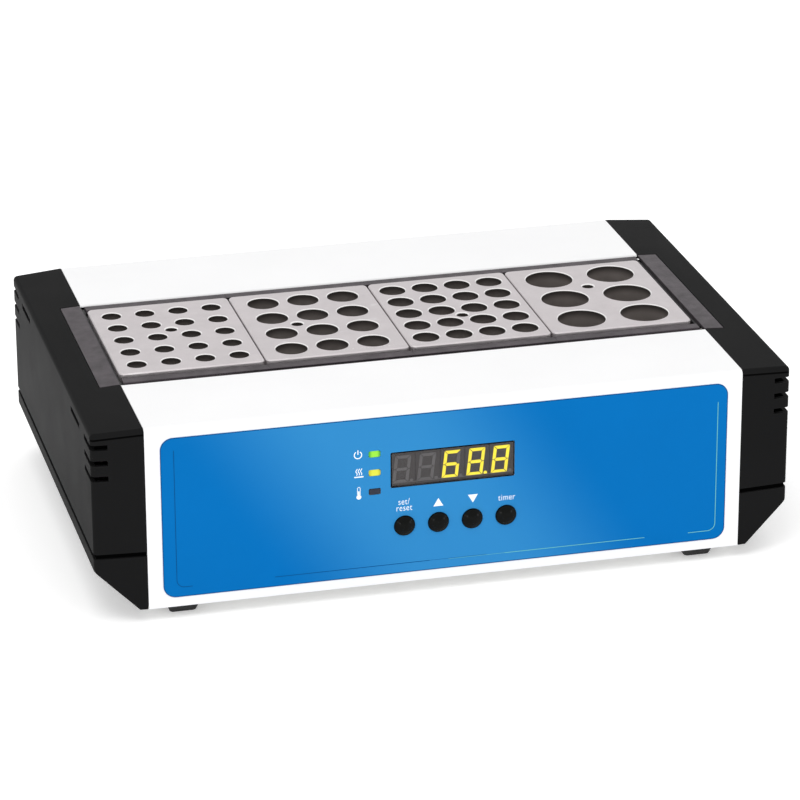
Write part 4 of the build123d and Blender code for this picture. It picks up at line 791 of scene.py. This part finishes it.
@dataclass
class CaseShell:
    """Covers, end caps and trim."""

    cover_edge: float = 0.0002
    cap_edge: float = 0.00035
    trim_edge: float = 0.0002
    tongue_reach: float = 0.0018
    lip_reach: float = 0.0014
    lip_drop: float = 0.0012
    lip_end: float = 0.012

    def build(self) -> None:
        """Finishes every outer part of the case, with painted shadow black in the grooves between the caps
        and on the covers' lips along the opening.
        """
        for name in ("front_cover", "rear_cover"):
            piece = Refined(name, ROOT, "white_paint", Look.PAINT, bevel=self.cover_edge).build()
            self.paint_lip_shadow(piece.data, name)
        for side in ("left", "right"):
            for part in ("end_cap_upper", "end_cap_lower"):
                piece = Refined(f"{side}_{part}", ROOT, "cap_plastic", Look.CAP, bevel=self.cap_edge).build()
                if part == "end_cap_lower":
                    self.paint_tongue_shadow(piece.data, f"{side}_end_cap_upper")
            Refined(f"{side}_end_plate", ROOT, "dark_trim", Look.TRIM, bevel=self.trim_edge).build()
        for name in ("front_rail", "rear_rail"):
            Refined(name, ROOT, "dark_trim", Look.TRIM, bevel=self.trim_edge).build()

    def paint_lip_shadow(self, mesh: bpy.types.Mesh, name: str) -> None:
        """Paints shadow black on the lip that a cover turns down along the opening."""
        low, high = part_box(name)
        _, y, z = face_vectors(mesh, "center").T
        nearest = min(abs(low[1]), abs(high[1]))
        lip = (np.abs(y) < nearest + self.lip_reach) & (z < high[2] - self.lip_drop)
        give_finishes(mesh, [Look.RECESS], lip & (z > high[2] - self.lip_end))

    def paint_tongue_shadow(self, mesh: bpy.types.Mesh, upper: str) -> None:
        """Paints shadow black on the lower cap's faces that stand up into the upper one."""
        low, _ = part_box(upper)
        raised = face_vectors(mesh, "center")[:, 2] > low[2] - self.tongue_reach
        give_finishes(mesh, [Look.RECESS], raised)


@dataclass
class PanelPrint:
    """Icons, arrows, words and fine lines printed on the label."""

    front: float
    ink: float = 0.00003
    line: float = 0.00050
    edge_line: float = 0.00042
    label_corner: float = 0.0063
    icon_x: float = -0.0473
    lamp_z: tuple[float, ...] = (0.0798, 0.0694, 0.0590)
    arrow_x: tuple[float, float] = (-0.0054, 0.0128)
    arrow_z: float = 0.0495
    arrow_size: tuple[float, float] = (0.0052, 0.0044)
    word_size: float = 0.0049
    word_narrow: float = 0.78
    word_weight: float = -0.00003
    ring: float = 0.00192
    ring_opening: float = 32.0
    bar: tuple[float, float] = (0.0002, 0.0026)
    wave_pitch: float = 0.0012
    wave_depth: float = 0.00034
    wave_height: float = 0.0036
    wave_turns: float = 1.25
    bulb: float = 0.00128
    tube: float = 0.0007

    def build(self) -> None:
        """Prints every mark."""
        self.border()
        self.put("icon_power", self.power_symbol())
        self.put("icon_heat", self.heat_symbol())
        self.put("icon_temperature", self.thermometer())
        width, height = self.arrow_size
        for name, x, sign in (("arrow_up", self.arrow_x[0], 1), ("arrow_down", self.arrow_x[1], -1)):
            corners = np.array([(-width / 2, -sign * height / 2), (width / 2, -sign * height / 2),
                                (0, sign * height / 2)])
            self.put(name, plate(corners + (x, self.arrow_z), self.front, self.ink))
        self.word("set/", -0.0235, 0.0501)
        self.word("reset", -0.0234, 0.0467)
        self.word("timer", 0.0307, 0.0467)
        self.corner_line("line_right", Look.INK_GREEN, 1, (0.1433, 0.0889), 0.0172, 0.1287, (0.1050, 0.0300))
        self.corner_line("line_left", Look.INK_NAVY, -1, (0.1416, 0.0923), 0.0175, 0.1336, (0.0910, 0.0100))

    def put(self, name: str, shape: tuple[Array, object], look: Look = Look.INK_WHITE) -> None:
        """Prints one mark on the label."""
        fixed_piece(name, shape, look)

    def border(self) -> None:
        """A hairline of darker ink round the label's edge."""
        low, high = (np.array(corner)[[0, 2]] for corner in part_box("label"))
        outline = rounded_box(high - low - self.edge_line, self.label_corner, 10) + (low + high) / 2
        line = ribbon(outline, self.edge_line, self.front, self.ink, closed=True)
        self.put("label_border", line, Look.INK_NAVY)

    def power_symbol(self) -> tuple[Array, object]:
        """A ring open at the top, with an upright bar in the opening."""
        x, z = self.icon_x, self.lamp_z[0]
        ring = arc((x, z), self.ring, 90 + self.ring_opening, 450 - self.ring_opening, 40)
        bar = np.array([(x, z + end) for end in self.bar])
        return join([ribbon(path, self.line, self.front, self.ink) for path in (ring, bar)])

    def heat_symbol(self) -> tuple[Array, object]:
        """Three wavy lines over a bar: each runs up as x0 + depth * sin(turns)."""
        x, z = self.icon_x + 0.0004, self.lamp_z[1]
        rise = np.linspace(0, 1, 24)
        parts = []
        for place in (-1, 0, 1):
            sway = self.wave_depth * np.sin(2 * math.pi * self.wave_turns * rise)
            across = x + place * self.wave_pitch + sway
            up = z - 0.0007 + self.wave_height * rise
            parts.append(ribbon(np.column_stack([across, up]), 0.0004, self.front, self.ink))
        base = np.array([(x - 0.0024, z - 0.00165), (x + 0.0024, z - 0.00165)])
        parts.append(ribbon(base, 0.00065, self.front, self.ink))
        return join(parts)

    def thermometer(self) -> tuple[Array, object]:
        """A filled bulb, an outlined tube with a round top and a column up to its middle."""
        x, z = self.icon_x + 0.0003, self.lamp_z[2]
        bulb = plate(arc((x, z - 0.0023), self.bulb, 0, 345, 24), self.front, self.ink)
        foot = z - 0.0015
        tube = np.vstack([[(x + self.tube, foot)], arc((x, z + 0.0024), self.tube, 0, 180, 12),
                          [(x - self.tube, foot)]])
        wall = ribbon(tube, 0.0003, self.front, self.ink)
        column = ribbon(np.array([(x, foot), (x, z + 0.0009)]), self.tube, self.front, self.ink * 1.2)
        return join([bulb, wall, column])

    def word(self, text: str, x: float, z: float) -> None:
        """Prints a plain word centred on x, with its base line at z."""
        name = "word_" + "".join(letter for letter in text if letter.isalpha())
        curve = bpy.data.curves.new(name, "FONT")
        curve.body = text
        curve.size = self.word_size
        curve.align_x = "CENTER"
        curve.space_character = 1.08
        curve.extrude = self.ink / 2
        curve.offset = self.word_weight
        curve.resolution_u = 6
        holder = bpy.data.objects.new(name + "_outline", curve)
        mesh = bpy.data.meshes.new_from_object(holder)
        bpy.data.objects.remove(holder)
        points = np.empty(len(mesh.vertices) * 3)
        mesh.vertices.foreach_get("co", points)
        points = points.reshape(-1, 3)
        points[:, 0] *= self.word_narrow
        depth = self.front - self.ink / 2 - points[:, 2]
        placed = np.column_stack([x + points[:, 0], depth, z + points[:, 1]])
        mesh.vertices.foreach_set("co", placed.ravel())
        tidy_mesh(mesh)
        shade(mesh, False, 0)
        finish_piece(name, mesh, ROOT, [Look.INK_WHITE])

    def corner_line(self, name: str, look: Look, side: int, top: tuple[float, float], low: float,
                    stop: float, after: tuple[float, float]) -> None:
        """A hairline down one side, round the corner and inwards, then on again after a gap.

        Args:
            name: The piece's name.
            look: Its ink.
            side: One on the right, minus one on the left.
            top: Distance out and height of its upper end.
            low: Height of its lower run.
            stop: Distance out where the gap starts.
            after: Distances out where the run starts again and where it ends.
        """
        bend = 0.004
        x, high = top
        turn = arc((x - bend, low + bend), bend, 0, -90, 12)
        path = np.vstack([[(x, high)], turn, [(stop, low)]])
        rest = np.array([(after[0], low), (after[1], low)])
        taper = np.array([(after[1], low), (after[1] - 0.03, low)])
        parts = []
        for points, width in ((path, 0.00034), (rest, 0.00030), (taper, 0.00012)):
            parts.append(ribbon(points * (side, 1), width, self.front, self.ink))
        self.put(name, join(parts), look)


@dataclass
class Display:
    """The smoked window, its modules and their segments."""

    front: float
    centre: tuple[float, float] = (0.0022, 0.0695)
    size: tuple[float, float] = (0.0648, 0.0191)
    pitch: float = 0.01295
    recess: float = 0.0006
    glyph: tuple[float, float] = (0.0084, 0.0148)
    stroke: float = 0.00162
    gap: float = 0.00022
    rim: float = 0.0004
    slant: float = 0.115
    shift: float = -0.0007
    shown: tuple[str, ...] = ("", "", "acdefg", "abcdefgp", "abcdefg")

    def build(self) -> None:
        """Builds the window, the modules behind it and every segment, lit or not."""
        self.window()
        self.modules()
        lit, dark = [], []
        for place, on in enumerate(self.shown):
            for letter, shape in self.digit(place).items():
                (lit if letter in on else dark).append(shape)
        self.segments("segments_lit", lit, Look.SEGMENT_LIT)
        self.segments("segments_unlit", dark, Look.SEGMENT_OFF)

    def segments(self, name: str, shapes: list, look: Look) -> None:
        """Joins plates of the display into one piece."""
        fixed_piece(name, join(shapes), look)

    def window(self) -> None:
        """A clear tinted plate with softened edges, flush with the label, and its flange, edged by a thin
        black ring of painted shadow.
        """
        outer = rounded_box(self.size, 0.0008)
        inner = rounded_box((self.size[0] - 0.0006, self.size[1] - 0.0006), 0.0006)
        wide = rounded_box((self.size[0] + 0.0038, self.size[1] + 0.0038), 0.0012)
        layers = [(inner, self.front), (outer, self.front + 0.00025), (outer, self.front + 0.0015),
                  (wide, self.front + 0.0015), (wide, self.front + 0.0024)]
        x, z = self.centre
        points = np.stack([np.column_stack([outline[:, 0] + x, np.full(len(outline), y), outline[:, 1] + z])
                           for outline, y in layers])
        count = points.shape[1]
        faces = grid_faces(len(layers), count, wrap=True).tolist()
        faces += [list(range(count)), list(range((len(layers) - 1) * count, len(layers) * count))]
        mesh = mesh_from("display_window", points.reshape(-1, 3), faces, sharp=30)
        finish_piece("display_window", mesh, ROOT, [Look.LENS], ["display_lens"])
        # a hairline of painted shadow round the window's edge
        path = rounded_box(np.array(self.size) - self.rim, 0.0006) + self.centre
        rim = ribbon(path, self.rim, self.front, 0.00004, closed=True)
        fixed_piece("window_shadow_rim", rim, Look.RECESS)

    def modules(self) -> None:
        """Five module faces just behind the window, a near-black surround of painted shadow round them and a
        line along their foot.
        """
        depth = self.front + self.recess
        parts = []
        for place in range(len(self.shown)):
            x = self.centre[0] + (place - 2) * self.pitch
            face = rounded_box((self.pitch - 0.0003, self.size[1] - 0.0016), 0.0003, 4)
            parts.append(plate(face + (x, self.centre[1]), depth + 0.0005, 0.0004))
        self.segments("module_faces", parts, Look.MODULE)
        backing = plate(rounded_box(self.size, 0.0006, 4) + self.centre, depth + 0.0009, 0.0003)
        self.segments("module_shadow_surround", [backing], Look.BEZEL)
        half = self.size[0] / 2 - self.rim
        lip_z = self.centre[1] - self.size[1] / 2 + 0.0022
        lip = np.array([(self.centre[0] - half, lip_z), (self.centre[0] + half, lip_z)])
        self.segments("module_lip", [ribbon(lip, 0.00035, depth, 0.0002)], Look.SEGMENT_OFF)

    def digit(self, place: int) -> dict[str, tuple[Array, object]]:
        """The eight shapes of one digit, by their usual letters.

        The upper bar and the upper right bar are mitred at their shared corner, and each upright
        ends in a slope beside the middle bar's point. The others are their mirror images.
        """
        right, top = self.glyph[0] / 2, self.glyph[1] / 2
        stroke, gap = self.stroke, self.gap
        inner, middle = right - stroke, right - stroke / 2
        upper = np.array([(-right + gap, top), (right - gap, top), (inner - gap, top - stroke),
                          (-inner + gap, top - stroke)])
        upright = np.array([(right, top - gap), (right, gap), (middle, gap), (inner, stroke / 2 + gap),
                            (inner, top - stroke - gap)])
        tip, half = middle - gap * math.sqrt(2), stroke / 2
        centre = np.array([(tip, 0), (tip - half, half), (half - tip, half), (-tip, 0), (half - tip, -half),
                           (tip - half, -half)])
        outlines = {"a": upper, "b": upright, "c": upright * (1, -1), "d": upper * (1, -1),
                    "e": -upright, "f": upright * (-1, 1), "g": centre}
        x = self.centre[0] + (place - 2) * self.pitch + self.shift
        shapes = {key: self.raised(outline, x) for key, outline in outlines.items()}
        point = arc((right + 0.0008, -top + stroke / 2), 0.00092, 0, 345, 24)
        shapes["p"] = plate(point + (x, self.centre[1]), self.front + self.recess + 0.0001, 0.0002)
        return shapes

    def raised(self, outline: Array, x: float) -> tuple[Array, object]:
        """One segment: its outline leaned over, so that x grows by slant * z, and given thickness."""
        leaned = outline + np.column_stack([self.slant * outline[:, 1], np.zeros(len(outline))])
        return plate(leaned + (x, self.centre[1]), self.front + self.recess + 0.0001, 0.0002)


@dataclass
class Lamps:
    """Three small rectangular lamp lenses, two of them lit."""

    front: float
    x: float = -0.0387
    places: tuple[float, ...] = (0.0794, 0.0692, 0.0589)
    size: tuple[float, float] = (0.0059, 0.0031)
    proud: float = 0.0003
    rows: int = 10
    columns: int = 40

    def build(self) -> None:
        """Builds the three lenses as pillows on short plugs, each with its own finish."""
        looks = [Look.LAMP_GREEN, Look.LAMP_YELLOW, Look.LAMP_OFF]
        for index, (z, look) in enumerate(zip(self.places, looks)):
            mesh = mesh_from(f"lamp_{index}", *self.pillow(z), sharp=50)
            replaced = ["lamp_lenses"] if index == 0 else []
            finish_piece(f"lamp_{index}", mesh, ROOT, [look], replaced)

    def pillow(self, z: float) -> tuple[Array, object]:
        """A lens: rings of a superellipse |x|^4 + |z|^4 = 1 that shrink as its face rises.

        Ring radius r runs from near 0 to 1 and stands proud by proud * (1 - r^4).
        """
        angle = np.linspace(0, 2 * math.pi, self.columns, endpoint=False)
        power = 0.5
        cx = np.sign(np.cos(angle)) * np.abs(np.cos(angle)) ** power
        cz = np.sign(np.sin(angle)) * np.abs(np.sin(angle)) ** power
        radius = np.linspace(0.02, 1, self.rows)
        lift = self.proud * (1 - radius ** 4)
        rings = [(r, self.front - up) for r, up in zip(radius, lift)] + [(1, self.front + 0.0012)]
        points = np.vstack([np.column_stack([self.x + r * cx * self.size[0] / 2, np.full(len(cx), y),
                                             z + r * cz * self.size[1] / 2]) for r, y in rings])
        faces = grid_faces(len(rings), self.columns, wrap=True).tolist()
        last = (len(rings) - 1) * self.columns
        return points, faces + [list(range(self.columns)), list(range(last, last + self.columns))]


@dataclass
class Buttons:
    """Four domed push buttons, each on its own body."""

    names: tuple[str, ...] = ("set_button", "up_button", "down_button", "timer_button")
    dome: float = 0.0017
    corner: float = 0.0005
    flange_reach: float = 0.0013
    flange_depth: float = 0.0039
    stem: float = 0.0016
    hub: float = 0.00005

    def build(self) -> None:
        """Turns each button to fill its frame node."""
        for name in self.names:
            mesh = mesh_from(name + "_dome", *self.turned(name), sharp=60)
            finish_piece(name + "_dome", mesh, name + "_body", [Look.BUTTON], [name])

    def turned(self, name: str) -> tuple[Array, Array]:
        """A dome, a rounded shoulder, a skirt, a flange and a stem, turned about the button's axis.

        The dome's depth falls as dome * (r / R)^2 out to the shoulder, which is a quarter circle.
        """
        low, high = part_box(name)
        flange = (high[0] - low[0]) / 2
        radius = flange - self.flange_reach
        x, z = (low[0] + high[0]) / 2, (low[2] + high[2]) / 2
        front = low[1]
        edge = radius - self.corner
        r = np.linspace(self.hub, edge, 14)
        top = np.column_stack([r, self.dome * (r / radius) ** 2])
        turn = np.radians(np.linspace(10, 90, 8))
        fall = self.dome * (edge / radius) ** 2
        shoulder = np.column_stack([edge + self.corner * np.sin(turn),
                                    fall + self.corner * (1 - np.cos(turn))])
        near, far, end = self.flange_depth, self.flange_depth + 0.001, high[1] - front
        skirt = np.array([(radius, near), (flange, near), (flange, far), (self.stem, far), (self.stem, end),
                          (self.hub, end)])
        return lathe(np.vstack([top, shoulder, skirt]), (x, front, z), Vector((0, 1, 0)), 64)


@dataclass
class Screws:
    """Cross-recessed screw heads on the back, over the plain ones of the frame."""

    radius: float = 0.0028
    rise: float = 0.0006
    slot: float = 0.00035
    depth: float = 0.0007

    def build(self) -> None:
        """Puts a head over each inlet screw and each rear cover screw."""
        inlet_low, inlet_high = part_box("inlet_screws")
        y = inlet_high[1] - self.rise
        middle_z = (inlet_low[2] + inlet_high[2]) / 2
        for index, x in enumerate((inlet_low[0] + self.radius, inlet_high[0] - self.radius)):
            self.head(f"inlet_screw_head_{index}", x, y, middle_z)
        low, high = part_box("case_screws")
        for index, x in enumerate((low[0] + self.radius, high[0] - self.radius)):
            self.head(f"rear_screw_head_{index}", x, high[1] - self.rise + 0.0001, (low[2] + high[2]) / 2)

    def head(self, name: str, x: float, y: float, z: float) -> None:
        """A domed head whose face sinks along two crossed slots.

        At (r, a) the face stands at rise * (1 - (r/R)^2), less depth times a soft step that is one
        inside |u| < slot or |v| < slot and within half the radius.
        """
        rings, steps = 16, 48
        around = np.linspace(0, 2 * math.pi, steps, endpoint=False)
        r, a = np.meshgrid(np.linspace(0.03, 1, rings), around, indexing="ij")
        u, v = self.radius * r * np.cos(a), self.radius * r * np.sin(a)
        near = np.minimum(np.abs(u), np.abs(v))
        inside = np.clip(1.5 - near / self.slot, 0, 1) * np.clip((0.62 - r) * 8, 0, 1)
        face = self.rise * (1 - 0.8 * r ** 2) - self.depth * 0.7 * inside
        points = np.stack([x + u, y + face, z + v], -1).reshape(-1, 3)
        skirt = np.stack([x + u[-1], np.full(steps, y - 0.0001), z + v[-1]], -1)
        faces = grid_faces(rings + 1, steps, wrap=True).tolist() + [list(range(steps))]
        mesh = mesh_from(name, np.vstack([points, skirt]), faces, sharp=35)
        finish_piece(name, mesh, ROOT, [Look.ZINC])


@dataclass
class Feet:
    """Four tapered rubber feet, shown as rounded copies of the frame's own."""

    edge: float = 0.0006

    def build(self) -> None:
        """Rounds the feet's edges."""
        Refined("feet", ROOT, "foot_rubber", Look.RUBBER, bevel=self.edge, segments=3).build()


@dataclass
class RearFittings:
    """The mains inlet, fuse drawer and switch on the back."""

    def build(self) -> None:
        """Rounds the edges of each fitting; the fuse drawer and the rocker ride bodies of their own."""
        Refined("power_inlet", ROOT, "inlet_plastic", Look.MOULDED, bevel=0.0003).build()
        Refined("switch_frame", ROOT, "inlet_plastic", Look.MOULDED, bevel=0.0002).build()
        Refined("fuse_drawer", "fuse_drawer_body", "inlet_plastic", Look.MOULDED, bevel=0.0002).build()
        Refined("rocker", "rocker_body", "inlet_plastic", Look.MOULDED, bevel=0.0003).build()
        Refined("inlet_pins", ROOT, "brass", Look.BRASS, bevel=0.0003).build()


@dataclass
class InnerWorks:
    """Everything behind the covers: the frame's own shapes with finishes of their own."""

    def build(self) -> None:
        """Dresses each node that is still shown."""
        dressed = {
            Look.ZINC: ("base_pan", "left_side_plate", "right_side_plate", "frame_screws", "liner_brackets",
                        "case_screws", "inlet_screws", "foot_screws", "display_studs", "board_pillars",
                        "temperature_probe", "thermostat"),
            Look.DARK_STEEL: ("well_liner",),
            Look.MILLED: ("heater_plate", "heatsink"),
            Look.LABEL: ("label",),
            Look.MODULE: ("digit_modules",),
            Look.LAMP_OFF: ("indicator_leds",),
            Look.MOULDED: ("tact_switches", "triac", "capacitors"),
            Look.FUSE: ("fuses",),
            Look.SILICONE: ("heater_mat",),
            Look.FIBRE: ("floor_insulation", "wall_insulation"),
            Look.CERAMIC: ("plate_pillars",),
            Look.WINDING: ("transformer_coil",),
            Look.CORE: ("transformer_core",),
            Look.BOARD: ("display_board", "power_board"),
            Look.SLEEVE: ("wiring", "ribbon_cable"),
            Look.TERMINAL: ("terminal_block",),
        }
        for look, names in dressed.items():
            for name in names:
                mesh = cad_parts[name].data
                mesh.materials.clear()
                mesh.materials.append(look.material())
                log.info("dressed %s", name)


# ---------------------------------------------------------------- studio
@dataclass
class Studio:
    """Pale floor, soft lights and the camera."""

    lens: float = 178.5
    place: tuple[float, float, float] = (-0.4790, -1.9131, 0.8528)
    turn: tuple[float, float, float] = (1.18741948, 0.00361981, -0.2495025)
    floor_half: float = 6.0
    floor_glow: float = 0.3
    aim: tuple[float, float, float] = (0.0, -0.12, 0.05)

    def build(self) -> None:
        """Sets the world, the floor, the lights and the camera."""
        scene = bpy.context.scene
        scene.view_settings.view_transform = "Standard"
        world = bpy.data.worlds.new("studio")
        scene.world = world
        world.use_nodes = True
        world.node_tree.nodes["Background"].inputs["Color"].default_value = (1.0, 1.0, 1.0, 1.0)
        world.node_tree.nodes["Background"].inputs["Strength"].default_value = 1.0
        self.floor()
        self.light("key", (-0.5, -0.9, 1.9), (0, 0, 0.08), 0.9, 7.0)
        self.light("left_spot", (-0.82, -1.95, 0.15), self.aim, 0.16, 1.6)
        self.light("right_spot", (1.50, -1.55, 0.15), self.aim, 0.16, 1.6)
        camera = bpy.data.objects.new("camera", bpy.data.cameras.new("camera"))
        scene.collection.objects.link(camera)
        camera.data.lens = self.lens
        camera.data.sensor_width = 36.0
        camera.data.clip_end = 50.0
        camera.location = self.place
        camera.rotation_euler = self.turn
        scene.camera = camera

    def floor(self) -> None:
        """A wide pale floor, which glows a little to keep the object's shadow light."""
        steps = np.linspace(-self.floor_half, self.floor_half, 9)
        x, y = np.meshgrid(steps, steps, indexing="ij")
        points = np.stack([x, y, np.zeros_like(x)], -1).reshape(-1, 3)
        mesh = bpy.data.meshes.new("floor")
        mesh.from_pydata(points.tolist(), [], grid_faces(9, 9)[:, ::-1].tolist())
        matte = Finish("studio_floor", (0.93, 0.93, 0.93), roughness=0.9, tint=0.004, tint_scale=2.0,
                       grain_scale=600.0, grain_height=0.00001, specular=0.1)
        material = matte.make()
        shader = material.node_tree.nodes["Principled BSDF"]
        shader.inputs["Emission Color"].default_value = (1.0, 1.0, 1.0, 1.0)
        shader.inputs["Emission Strength"].default_value = self.floor_glow
        mesh.materials.append(material)
        floor = bpy.data.objects.new("floor", mesh)
        bpy.context.scene.collection.objects.link(floor)

    def light(self, name: str, place: Sequence[float], aim: Sequence[float], size: float,
              power: float) -> None:
        """One square soft light that faces a point."""
        data = bpy.data.lights.new(name, "AREA")
        data.size = size
        data.energy = power
        lamp = bpy.data.objects.new(name, data)
        bpy.context.scene.collection.objects.link(lamp)
        lamp.location = place
        lamp.rotation_euler = (Vector(aim) - Vector(place)).to_track_quat("-Z", "Y").to_euler()


def main() -> None:
    """Builds every sub-assembly in order."""
    logging.basicConfig(level=logging.INFO, format="%(name)s: %(message)s")
    label_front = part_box("label")[0][1]
    Studio().build()
    for assembly in (
        TubeBlocks(), CaseShell(), PanelPrint(label_front), Display(label_front), Lamps(label_front),
        Buttons(), Screws(), Feet(), RearFittings(), InnerWorks(),
    ):
        log.info("building %s", type(assembly).__name__)
        assembly.build()


if __name__ == "__main__":
    main()
